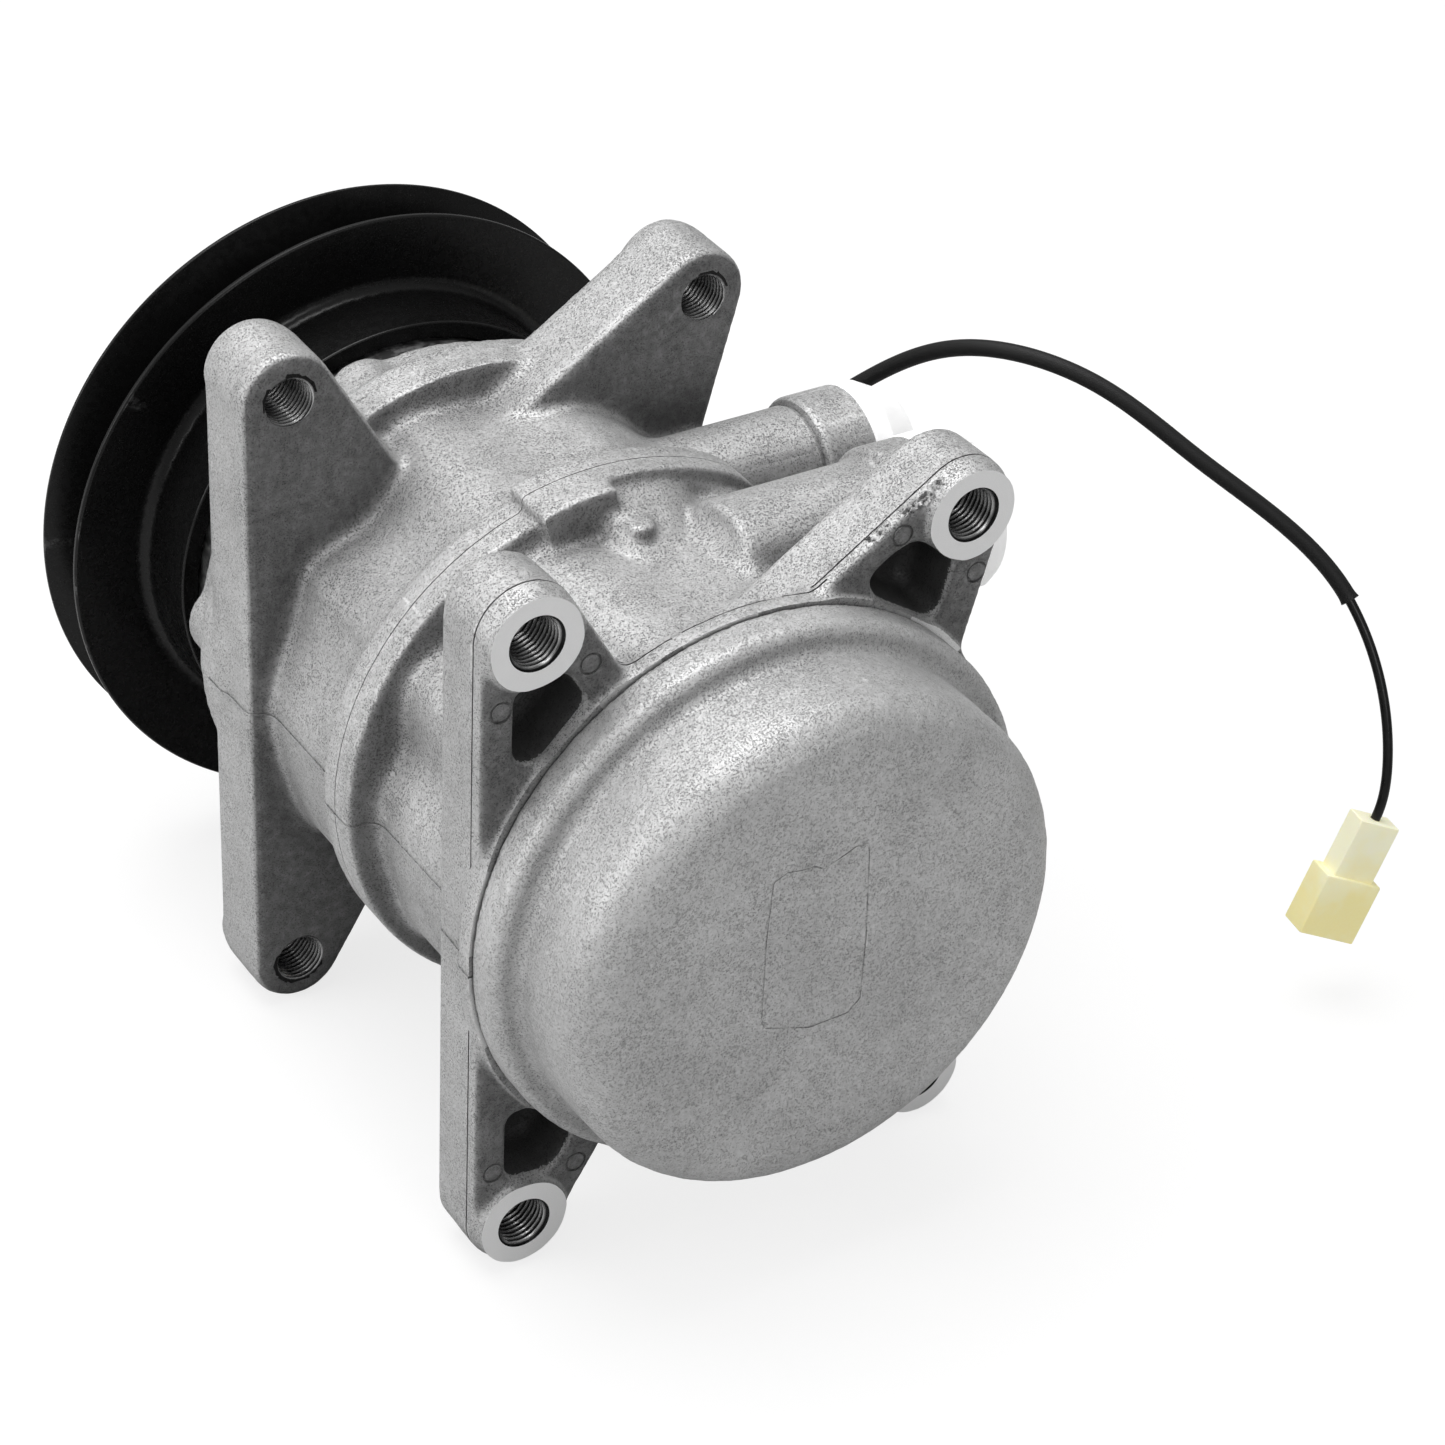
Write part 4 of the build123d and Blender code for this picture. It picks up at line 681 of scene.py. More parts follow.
# ------------------------------------------------------------------ procedural materials
class Nodes:
    """A short way to write a node tree."""

    def __init__(self, name):
        self.mat = bpy.data.materials.new(name)
        self.mat.use_nodes = True
        self.nt = self.mat.node_tree
        self.nt.nodes.clear()
        self.out = self.nt.nodes.new("ShaderNodeOutputMaterial")
        self.bsdf = self.nt.nodes.new("ShaderNodeBsdfPrincipled")
        self.nt.links.new(self.bsdf.outputs[0], self.out.inputs[0])
        tc = self.nt.nodes.new("ShaderNodeTexCoord")
        self.co = self.vmath("SCALE", tc.outputs["Object"], None, 1000.0)

    def plug(self, socket, value):
        if isinstance(value, bpy.types.NodeSocket):
            self.nt.links.new(value, socket)
        elif value is not None:
            socket.default_value = value

    def vmath(self, op, a, b=None, scale=None):
        n = self.nt.nodes.new("ShaderNodeVectorMath")
        n.operation = op
        self.plug(n.inputs[0], a)
        if b is not None:
            self.plug(n.inputs[1], b)
        if scale is not None:
            self.plug(n.inputs["Scale"], scale)
        return n.outputs["Value"] if op in ("LENGTH", "DOT_PRODUCT", "DISTANCE") else n.outputs["Vector"]

    def math(self, op, a, b=None, c=None, clamp=False):
        n = self.nt.nodes.new("ShaderNodeMath")
        n.operation = op
        n.use_clamp = clamp
        self.plug(n.inputs[0], a)
        if b is not None:
            self.plug(n.inputs[1], b)
        if c is not None:
            self.plug(n.inputs[2], c)
        return n.outputs[0]

    def stretch(self, x, y, z):
        return self.vmath("MULTIPLY", self.co, (x, y, z))

    def split(self, v):
        n = self.nt.nodes.new("ShaderNodeSeparateXYZ")
        self.plug(n.inputs[0], v)
        return n.outputs

    def noise(self, scale, detail=3.0, rough=0.55, vector=None, distortion=0.0):
        n = self.nt.nodes.new("ShaderNodeTexNoise")
        self.plug(n.inputs["Vector"], vector or self.co)
        n.inputs["Scale"].default_value = scale
        n.inputs["Detail"].default_value = detail
        n.inputs["Roughness"].default_value = rough
        n.inputs["Distortion"].default_value = distortion
        return n.outputs["Fac"]

    def cells(self, scale, feature="F1", vector=None):
        n = self.nt.nodes.new("ShaderNodeTexVoronoi")
        n.feature = feature
        self.plug(n.inputs["Vector"], vector or self.co)
        n.inputs["Scale"].default_value = scale
        return n.outputs["Distance"]

    def span(self, value, a, b, lo=0.0, hi=1.0):
        n = self.nt.nodes.new("ShaderNodeMapRange")
        n.clamp = True
        self.plug(n.inputs["Value"], value)
        n.inputs["From Min"].default_value = a
        n.inputs["From Max"].default_value = b
        n.inputs["To Min"].default_value = lo
        n.inputs["To Max"].default_value = hi
        return n.outputs["Result"]

    def mix(self, fac, a, b):
        n = self.nt.nodes.new("ShaderNodeMix")
        n.data_type = "RGBA"
        self.plug(n.inputs["Factor"], fac)
        self.plug(n.inputs[6], a)
        self.plug(n.inputs[7], b)
        return n.outputs[2]

    def pointiness(self):
        return self.nt.nodes.new("ShaderNodeNewGeometry").outputs["Pointiness"]

    def shade_in(self, distance, samples=3):
        n = self.nt.nodes.new("ShaderNodeAmbientOcclusion")
        n.samples = samples
        n.inputs["Distance"].default_value = distance
        return n.outputs["AO"]

    def bump(self, height, strength=0.5, distance=0.0001):
        n = self.nt.nodes.new("ShaderNodeBump")
        n.inputs["Strength"].default_value = strength
        n.inputs["Distance"].default_value = distance
        self.plug(n.inputs["Height"], height)
        return n.outputs["Normal"]

    def finish(self, **kw):
        for key, value in kw.items():
            self.plug(self.bsdf.inputs[key.replace("_", " ")], value)
        return self.mat


def grey(v, a=1.0):
    return (v, v, v, a)


def mat_cast(name="cast_aluminium_skin", light=0.68, dark=0.46, core=False, ears=True, pit=0.85):
    n = Nodes(name)
    grain = n.noise(0.95, 5.0, 0.68)
    fine = n.noise(2.3, 3.0, 0.6)
    broad = n.noise(0.045, 3.0, 0.5)
    patch = n.noise(0.13, 4.0, 0.62, distortion=0.8)
    # dark pits, denser in patches
    dens = n.span(patch, 0.34, 0.66, -0.035, 0.030)
    speck = n.math("ADD", fine, dens)
    pits = n.span(speck, 0.520, 0.625)
    dots = n.span(n.math("SUBTRACT", n.cells(1.45), n.math("MULTIPLY", dens, 1.3)), 0.21, 0.13)
    blots = n.span(n.math("ADD", n.noise(0.55, 4.0, 0.7), n.math("MULTIPLY", dens, 0.6)), 0.56, 0.74)
    tone = n.math("ADD", n.span(grain, 0.3, 0.72), n.span(broad, 0.3, 0.7, -0.25, 0.25), clamp=True)
    c = n.mix(tone, grey(dark), grey(light))
    c = n.mix(n.math("MULTIPLY", pits, pit * 0.8), c, grey(0.15))
    c = n.mix(n.math("MULTIPLY", dots, pit), c, grey(0.07))
    c = n.mix(n.math("MULTIPLY", blots, 0.26), c, grey(0.18))
    # painted highlight: convex edges lightened where the grain stands up
    edge = n.math("MULTIPLY", n.span(n.pointiness(), 0.525, 0.60), n.span(grain, 0.38, 0.60, 0.15, 1.0))
    c = n.mix(n.math("MULTIPLY", edge, 0.65), c, grey(0.90))
    # painted shade: crevices and recesses within 12 mm are darkened by ambient occlusion
    ao = n.shade_in(0.012)
    c = n.mix(n.span(ao, 0.25, 0.95, 0.0, 1.0), n.mix(0.70, c, grey(0.015)), c)
    if ears:
        # painted shade: faces turned to -Y are darkened, fully near the ears' rear faces at y 2 and y 102.4 and partly
        # everywhere beyond y 12, the amount varied by noise
        x, y, z = n.split(n.co)
        geo = n.nt.nodes.new("ShaderNodeNewGeometry")
        nx, ny, nz = n.split(geo.outputs["Normal"])
        facing = n.span(ny, -0.50, -0.86)
        near = n.math("MAXIMUM", n.span(n.math("ABSOLUTE", n.math("SUBTRACT", y, 2.0)), 2.0, 1.2), n.span(n.math("ABSOLUTE", n.math("SUBTRACT", y, 102.4)), 2.6, 1.8))
        near = n.math("MULTIPLY", near, n.span(y, 0.8, 1.3))
        near = n.math("MAXIMUM", near, n.span(y, 6.0, 12.0, 0.0, 0.72))
        shade_strength = n.span(n.math("ADD", n.noise(0.42, 4.0, 0.65), n.span(patch, 0.3, 0.7, -0.05, 0.05)), 0.30, 0.66, 0.72, 0.98)
        c = n.mix(n.math("MULTIPLY", n.math("MULTIPLY", facing, near), shade_strength), c, n.mix(0.80, c, grey(0.05)))
    # painted shade: the pocket walls are darkened throughout
    if core:
        c = n.mix(0.80, c, grey(0.025))
    h = n.math("SUBTRACT", n.math("MULTIPLY_ADD", fine, 0.4, grain), n.math("MULTIPLY", n.math("MAXIMUM", pits, dots), 0.8))
    rough = n.span(grain, 0.3, 0.7, 0.42, 0.60)
    return n.finish(Base_Color=c, Metallic=0.62, Roughness=rough, Normal=n.bump(h, 0.6, 0.00026))


def mat_machined(name, base=0.78, rough=0.24, centres="bolts", metallic=0.9, stain=0.4):
    """Faced surface with fine turning marks about its own centre."""
    n = Nodes(name)
    x, y, z = n.split(n.co)
    if centres == "bolts":
        u = n.math("SUBTRACT", n.math("ABSOLUTE", x), 50.0)
        v = n.math("SUBTRACT", n.math("ABSOLUTE", z), 72.0)
    elif centres == "shaft":
        u, v = x, z
    else:
        u = n.math("SUBTRACT", y, centres[0])
        v = n.math("SUBTRACT", z, centres[1])
    r = n.math("SQRT", n.math("ADD", n.math("MULTIPLY", u, u), n.math("MULTIPLY", v, v)))
    ring = n.math("SINE", n.math("MULTIPLY", r, 2 * math.pi / 0.22))
    wob = n.noise(3.5, 2.0, 0.5, vector=n.vmath("MULTIPLY", n.co, (1, 1, 1)))
    marks = n.math("MULTIPLY_ADD", wob, 0.8, n.math("MULTIPLY", ring, 0.5))
    c = n.mix(n.span(marks, -0.3, 0.9), grey(base * 0.86), grey(base))
    c = n.mix(n.math("MULTIPLY", n.span(n.noise(0.5, 3.0, 0.6), 0.62, 0.72), stain), c, grey(base * 0.55))
    return n.finish(Base_Color=c, Metallic=metallic, Roughness=n.span(wob, 0.3, 0.7, rough, rough + 0.12), Normal=n.bump(marks, 0.25, 0.00003))


def mat_steel(name, base=(0.56, 0.56, 0.57), rough=0.26, stretch=(1, 1, 1), metallic=1.0, stain=0.25):
    n = Nodes(name)
    line = n.noise(2.4, 3.0, 0.6, vector=n.stretch(*stretch))
    soft = n.noise(0.11, 3.0, 0.55)
    c = n.mix(n.span(line, 0.3, 0.7), (base[0] * 0.78, base[1] * 0.78, base[2] * 0.78, 1), (*base, 1))
    c = n.mix(n.math("MULTIPLY", n.span(soft, 0.5, 0.72), stain), c, (base[0] * 0.5, base[1] * 0.48, base[2] * 0.44, 1))
    # painted highlight: convex edges are lightened
    e = n.span(n.pointiness(), 0.52, 0.62)
    c = n.mix(n.math("MULTIPLY", e, 0.4), c, (min(1, base[0] * 1.4), min(1, base[1] * 1.4), min(1, base[2] * 1.4), 1))
    return n.finish(Base_Color=c, Metallic=metallic, Roughness=n.span(line, 0.3, 0.7, rough, rough + 0.16), Normal=n.bump(line, 0.2, 0.00004))


def mat_thread():
    """Cut thread: lighter on its crests near the mouth; painted shade darkens the thread roots and the hole further in.
    """
    n = Nodes("cut_thread_skin")
    line = n.noise(2.4, 3.0, 0.6, vector=n.stretch(0.3, 4, 0.3))
    c = n.mix(n.span(line, 0.3, 0.7), grey(0.50), grey(0.72))
    x, y, z = n.split(n.co)
    u = n.math("SUBTRACT", n.math("ABSOLUTE", x), 50.0)
    v = n.math("SUBTRACT", n.math("ABSOLUTE", z), 72.0)
    r = n.math("SQRT", n.math("ADD", n.math("MULTIPLY", u, u), n.math("MULTIPLY", v, v)))
    # painted shade in the thread roots, then painted shade by ambient occlusion deeper in the hole
    c = n.mix(n.span(r, 5.35, 5.85), c, grey(0.02))
    c = n.mix(n.span(n.shade_in(0.011), 0.30, 0.68), grey(0.012), c)
    return n.finish(Base_Color=c, Metallic=0.9, Roughness=n.span(line, 0.3, 0.7, 0.2, 0.34), Normal=n.bump(line, 0.2, 0.00004))


def mat_black_paint(name="black_paint_skin", base=0.0035, rough=0.26, edge_wear_and_highlight=0.55):
    n = Nodes(name)
    peel = n.noise(0.7, 2.0, 0.5)
    dust = n.noise(4.5, 2.0, 0.6)
    broad = n.noise(0.05, 3.0, 0.5)
    c = n.mix(n.span(broad, 0.3, 0.7), grey(base * 0.75), grey(base * 1.5))
    c = n.mix(n.math("MULTIPLY", n.span(dust, 0.68, 0.76), 0.08), c, grey(0.03))
    # edges lightened: partly paint worn through, partly a painted highlight
    e = n.math("MULTIPLY", n.span(n.pointiness(), 0.53, 0.60), n.span(n.noise(0.35, 4.0, 0.7), 0.42, 0.62))
    c = n.mix(n.math("MULTIPLY", e, edge_wear_and_highlight), c, grey(0.20))
    return n.finish(Base_Color=c, Roughness=n.span(peel, 0.3, 0.7, rough - 0.04, rough + 0.06), Specular_IOR_Level=0.32,
                    Normal=n.bump(peel, 0.08, 0.00012))


def mat_simple(name, a, b, scale, rough, strength=0.3, distance=0.0001, metallic=0.0, stretch=(1, 1, 1), detail=4.0, **kw):
    n = Nodes(name)
    f = n.noise(scale, detail, 0.6, vector=n.stretch(*stretch))
    g = n.noise(scale * 0.12, 2.0, 0.5)
    c = n.mix(n.math("ADD", n.span(f, 0.32, 0.68), n.span(g, 0.3, 0.7, -0.25, 0.25), clamp=True), (*a, 1), (*b, 1))
    return n.finish(Base_Color=c, Metallic=metallic, Roughness=n.span(f, 0.3, 0.7, rough[0], rough[1]), Normal=n.bump(f, strength, distance), **kw)


def mat_copper():
    n = Nodes("copper_winding_skin")
    x, y, z = n.split(n.co)
    turns = n.math("SINE", n.math("MULTIPLY", y, 2 * math.pi / 0.62))
    f = n.noise(0.8, 4.0, 0.6)
    c = n.mix(n.span(turns, -0.9, 0.8), (0.10, 0.028, 0.010, 1), (0.46, 0.17, 0.06, 1))
    c = n.mix(n.math("MULTIPLY", n.span(f, 0.4, 0.7), 0.4), c, (0.2, 0.09, 0.03, 1))
    return n.finish(Base_Color=c, Metallic=0.6, Roughness=0.34, Normal=n.bump(turns, 0.5, 0.0002), Coat_Weight=0.6, Coat_Roughness=0.1)


def mat_braid():
    n = Nodes("black_braid_skin")
    at = n.nt.nodes.new("ShaderNodeAttribute")
    at.attribute_name = "weave"
    w = at.outputs["Fac"]
    fuzz = n.noise(6.0, 3.0, 0.6)
    # painted shade: the low parts of the weave are darker than the raised strands
    c = n.mix(w, grey(0.0010), grey(0.008))
    c = n.mix(n.math("MULTIPLY", n.span(fuzz, 0.55, 0.75), n.math("MULTIPLY", w, 0.5)), c, grey(0.022))
    return n.finish(Base_Color=c, Roughness=n.span(fuzz, 0.3, 0.7, 0.42, 0.62), Specular_IOR_Level=0.3,
                    Sheen_Weight=0.04, Normal=n.bump(fuzz, 0.25, 0.00006))


def mat_nylon():
    n = Nodes("natural_nylon_skin")
    f = n.noise(0.16, 3.0, 0.5)
    g = n.noise(2.0, 3.0, 0.6)
    x, y, z = n.split(n.co)
    low = n.math("ADD", n.span(z, -44.0, -56.0), n.span(f, 0.35, 0.66, -0.25, 0.25), clamp=True)
    c = n.mix(low, (0.86, 0.84, 0.62, 1), (0.82, 0.74, 0.36, 1))
    c = n.mix(n.math("MULTIPLY", n.span(g, 0.4, 0.75), 0.10), c, (0.92, 0.91, 0.78, 1))
    # painted glow: the nylon emits a little light of its own colour
    return n.finish(Base_Color=c, Emission_Color=c, Emission_Strength=0.20, Roughness=n.span(g, 0.3, 0.7, 0.34, 0.46), Subsurface_Weight=0.30, Subsurface_Radius=(1.0, 0.75, 0.35),
                    Subsurface_Scale=0.0035, Specular_IOR_Level=0.45, Normal=n.bump(g, 0.10, 0.00008))


def mat_white():
    n = Nodes("white_plastic_skin")
    f = n.noise(0.3, 3.0, 0.5)
    g = n.noise(3.0, 3.0, 0.6)
    c = n.mix(n.span(f, 0.35, 0.66), grey(0.90), grey(0.83))
    c = n.mix(n.math("MULTIPLY", n.span(g, 0.62, 0.75), 0.25), c, grey(0.70))
    # painted glow: the white plastic emits a faint white light
    return n.finish(Base_Color=c, Emission_Color=grey(1.0), Emission_Strength=0.22, Roughness=n.span(g, 0.3, 0.7, 0.38, 0.5), Subsurface_Weight=0.25, Subsurface_Radius=(1.0, 1.0, 1.0),
                    Subsurface_Scale=0.002, Normal=n.bump(g, 0.12, 0.00008))


def mat_floor():
    """Pale floor. It throws back less light than it shows, so that the object's undersides keep their shade."""
    n = Nodes("floor_skin")
    f = n.noise(0.004, 3.0, 0.5)
    lp = n.nt.nodes.new("ShaderNodeLightPath")
    cam_ray = lp.outputs["Is Camera Ray"]
    seen = n.mix(f, grey(0.225), grey(0.235))
    return n.finish(Base_Color=n.mix(cam_ray, grey(0.52), seen), Roughness=0.85, Specular_IOR_Level=0.1,
                    Emission_Color=grey(1.0), Emission_Strength=n.math("MULTIPLY", cam_ray, 0.78))


CAST = mat_cast()
# darkened copy of the cast material for the pocket walls: painted shade
POCKET_SHADE = mat_cast("cast_aluminium_painted_pocket_shade", core=True)
DOME = mat_cast("cast_aluminium_cover", 0.70, 0.50, ears=False, pit=0.6)
FACED = mat_machined("machined_boss", 0.97, 0.36, metallic=0.25, stain=0.06)
THREAD = mat_thread()
TURNED = mat_machined("machined_round", 0.80, 0.26, "shaft")
SUCTION_FACE = mat_machined("machined_suction_port", 0.74, 0.26, (39.0, 45.8))
DISCHARGE_FACE = mat_machined("machined_discharge_port", 0.74, 0.26, (85.0, 34.8))
PISTON = mat_steel("turned_piston", (0.70, 0.70, 0.71), 0.28, (0.2, 6, 0.2))
STEEL = mat_steel("ground_steel_skin")
PLATED = mat_steel("plated_steel_skin", (0.62, 0.60, 0.53), 0.30, (1, 1, 1), 1.0, 0.35)
PAINT = mat_black_paint()
COIL = mat_black_paint("coil_paint_skin", 0.02, 0.36, 0.6)
COPPER = mat_copper()
FIBRE = mat_simple("gasket_fibre_skin", (0.035, 0.042, 0.040), (0.085, 0.095, 0.09), 1.8, (0.7, 0.9), 0.4)
RUBBER = mat_simple("black_rubber_skin", (0.006, 0.006, 0.006), (0.018, 0.018, 0.018), 1.2, (0.5, 0.7), 0.25)
WIRE = mat_simple("black_insulation_skin", (0.0022, 0.0022, 0.0022), (0.005, 0.005, 0.005), 0.8, (0.26, 0.38), 0.12, 0.00006, 0.0, (1, 0.25, 1), Specular_IOR_Level=0.35)
BRAID = mat_braid()
NYLON = mat_nylon()
WHITE = mat_white()

BY_SLOT = {"cast_aluminium": CAST, "piston_aluminium": PISTON, "ground_steel": STEEL, "plated_steel": PLATED, "black_paint": PAINT,
           "coil_steel": COIL, "copper_winding": COPPER, "gasket_fibre": FIBRE, "black_rubber": RUBBER, "black_insulation": WIRE,
           "black_braid": BRAID, "natural_nylon": NYLON, "white_plastic": WHITE}


def paint(ob, *mats):
    ob.data.materials.clear()
    for m in mats:
        ob.data.materials.append(m)
    return ob


def polys(ob):
    """Polygon centres (mm) and normals."""
    me = ob.data
    n = len(me.polygons)
    c, nn = np.zeros(n * 3, np.float32), np.zeros(n * 3, np.float32)
    me.polygons.foreach_get("center", c)
    me.polygons.foreach_get("normal", nn)
    return c.reshape(-1, 3) / MM, nn.reshape(-1, 3)


def reach(ob):
    """How far (mm) each polygon's furthest corner lies from the nearest bolt hole's axis."""
    me = ob.data
    co = np.zeros(len(me.vertices) * 3, np.float32)
    me.vertices.foreach_get("co", co)
    co = co.reshape(-1, 3) / MM
    vi = np.zeros(len(me.loops), np.int32)
    me.loops.foreach_get("vertex_index", vi)
    start = np.zeros(len(me.polygons), np.int32)
    me.polygons.foreach_get("loop_start", start)
    d = np.hypot(np.abs(co[:, 0]) - 50.0, np.abs(co[:, 2]) - 72.0)
    return np.maximum.reduceat(d[vi], start)


def assign(ob, rules):
    """rules: (material index, mask) pairs, later ones win."""
    idx = np.zeros(len(ob.data.polygons), np.int32)
    for k, mask in rules:
        idx[mask] = k
    ob.data.polygons.foreach_set("material_index", idx)
    ob.data.update()


def inside(pts, poly, grow=0.4):
    """Points (x, z) within a convex outline grown a little."""
    poly = np.array(hull2(poly), float)
    ok = np.ones(len(pts), bool)
    for i in range(len(poly)):
        a, b = poly[i], poly[(i + 1) % len(poly)]
        e = (b - a) / np.linalg.norm(b - a)
        nrm = np.array([-e[1], e[0]])
        ok &= ((pts - a) @ nrm) > -grow
    return ok


def put(ob, body, slot, *replaced):
    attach(ob, body)
    if replaced:
        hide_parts(*replaced)
    return ob


def outward(ob):
    """Faces turned to look out of the solid."""
    bm = bmesh.new()
    bm.from_mesh(ob.data)
    if bm.calc_volume(signed=True) < 0:
        bmesh.ops.reverse_faces(bm, faces=bm.faces[:])
        bm.to_mesh(ob.data)
    bm.free()
    return ob


def tidy(ob, angle=32.0, bevel=0.0, segments=2, limit=38.0):
    """Rounds hard edges where asked, then shades smoothly with sharp edges kept."""
    outward(ob)
    if bevel:
        m = ob.modifiers.new("bevel", "BEVEL")
        m.width = bevel * MM
        m.segments = segments
        m.limit_method = "ANGLE"
        m.angle_limit = math.radians(limit)
        m.use_clamp_overlap = True
        m.harden_normals = False
        apply_all(ob)
    shade(ob, angle)
    m = ob.modifiers.new("weighted", "WEIGHTED_NORMAL")
    m.keep_sharp = True
    m.weight = 60
    apply_all(ob)
    return ob


# ------------------------------------------------------------------ casings
def polar(r, k, start=0.0):
    a = math.radians(start + 72.0 * k)
    return r * math.cos(a), r * math.sin(a)


def bolt_rods(r, y0, y1, seg=48):
    return [rod((polar(49, k, 36)[0], y0, polar(49, k, 36)[1]), (polar(49, k, 36)[0], y1, polar(49, k, 36)[1]), r, None, seg) for k in range(5)]


def cavity(r0, r1, y0, y1, post, seg=160):
    """Annular chamber with the five bolt posts left standing in it."""
    ring = [(r0, y0), (r1, y0), (r1, y1), (r0, y1)] if r0 > 0 else [(0, y0), (r1, y0), (r1, y1), (0, y1)]
    c = make("chamber", *bands(ring, seg), None)
    if post:
        cut(c, join(*bolt_rods(post, y0 - 1, y1 + 1)))
    return c


def build_rear_cover():
    prof = rounded([(0, -32), (57, -32), (57.3, -8.6), (63, -8.0), (63, SEAM_REAR), (58.4, SEAM_REAR), (58.4, -3.4), (0, -3.4)],
                   [0, 9, 2.5, 3, 0.5, 0.3, 0.3, 0], 10)
    ob = make("rear_cover_casting", *bands(prof, 288), None)
    # denser faces, so that the skin can be uneven
    m = ob.modifiers.new("r", "REMESH")
    m.mode = "VOXEL"
    m.voxel_size = 0.62 * MM
    apply_all(ob)
    roughen(ob, 0.10, 0.05, 7.0)
    # machined seating face, inner recess and the two chambers
    cut(ob, bands([(0, SEAM_REAR - 0.04), (80, SEAM_REAR - 0.04), (80, 4), (0, 4)], 96))
    cut(ob, bands([(0, -3.4), (58.4, -3.4), (58.4, 5), (0, 5)], 160))
    boolean(ob, cavity(31, 51, -26.0, -3.0, 7.0))
    boolean(ob, cavity(0, 27.5, -26.0, -3.0, 0))
    cut(ob, join(*bolt_rods(3.0, -18.4, -3.0)))
    # faint outlined panel in the end face, its top edge uneven
    pts = [(-15.9, -9.0), (-14.6, -11.4), (-4.0, -15.2), (5.4, -15.0), (8.2, -12.2), (8.4, 4.0), (7.4, 26.4), (4.6, 27.2), (0.2, 25.4), (-3.2, 24.2),
           (-5.4, 25.6), (-8.6, 25.8), (-12.0, 26.4), (-15.2, 25.0), (-16.0, 11.0)]
    outer = round_outline(pts, 0.8, 4)
    cx, cz = -3.8, 6.0
    inner = [(cx + (x - cx) * (1 - 0.42 / 12.2), cz + (z - cz) * (1 - 0.42 / 20.5)) for x, z in outer]
    groove = make("groove", *prism(outer, -33.0, -31.90), None)
    cut(groove, prism(inner, -34.0, -31.0))
    boolean(ob, groove)
    tidy(ob, 34)
    c, nn = polys(ob)
    paint(ob, DOME, TURNED)
    assign(ob, [(1, (c[:, 1] > -3.6) & (nn[:, 1] > 0.95))])
    return ob


def build_front_head():
    y0 = SEAM_FRONT - 3.0
    body = [prism(circle(0, 0, 62.0, 192), y0, 125.3), prism(circle(0, 0, 55.2, 192), y0, 138.6)]
    for k in range(5):
        x, z = polar(49, k, 36)
        body.append(layered(circle(x, z, 9.6, 64), [(y0, 0.0), (130.0, 0.0), (139.0, 0.25)]))
        # rib from the nose to each bolt post
        a = math.radians(36 + 72 * k)
        u, w = (math.cos(a), math.sin(a)), (-math.sin(a), math.cos(a))
        body.append(hull([(u[0] * r + w[0] * s, y, u[1] * r + w[1] * s) for r in (14, 46) for s in (-2.4, 2.4) for y in (136.0, 139.4 if r == 46 else 139.9)]))
    V, F = join(*body)
    V, F = rounded_cast(V, F, 2.4, 1.2, VOX * 1.15)
    ob = make("front_head_casting", V, F, None)
    decimate(ob, 0.36)
    roughen(ob, 0.08, 0.05, 3.0)
    cut(ob, bands([(0, y0 - 9), (90, y0 - 9), (90, SEAM_FRONT + 0.04), (0, SEAM_FRONT + 0.04)], 96))
    cut(ob, bands([(24.6, 139.0), (52.4, 139.0), (52.4, 146), (24.6, 146)], 160))
    nose = rounded([(0, 130), (20.4, 130), (20.4, 152), (17.5, 152), (17.5, 177), (0, 177)], [0, 0, 0.5, 0.3, 0.6, 0], 4)
    boolean(ob, make("nose", *bands(nose, 160), None), "UNION")
    bore = [(0, 116), (58.4, 116), (58.4, 124.2), (10.4, 124.2), (10.4, 128.0), (14.4, 128.0), (14.4, 138.2), (15.6, 138.2), (15.6, 139.6),
            (14.4, 139.6), (14.4, 176.4), (15.0, 177.0), (15.0, 180), (0, 180)]
    cut(ob, bands(bore, 160))
    boolean(ob, cavity(31, 51, 123.0, 134.0, 7.4))
    cut(ob, bands([(17.8, 123.0), (27.5, 123.0), (27.5, 134.0), (17.8, 134.0)], 128))
    for g in ([(16.5, 172.2), (18.4, 172.2), (18.4, 173.8), (16.5, 173.8)], [(19.2, 141.2), (21.4, 141.2), (21.4, 142.8), (19.2, 142.8)]):
        cut(ob, bands(g, 128))
    cut(ob, join(*bolt_rods(3.4, 120, 134)))
    cut(ob, join(*bolt_rods(5.6, 133.0, 146)))
    tidy(ob, 34)
    c, nn = polys(ob)
    r = np.hypot(c[:, 0], c[:, 2])
    paint(ob, CAST, TURNED)
    assign(ob, [(1, (r < 20.8) & (c[:, 1] > 139.2)), (1, (c[:, 1] < 124.4) & (nn[:, 1] < -0.95)),
                (1, (np.abs(c[:, 1] - 139.0) < 0.02) & (nn[:, 1] > 0.98)), (1, (r < 15.7) & (c[:, 1] > 120))])
    return ob


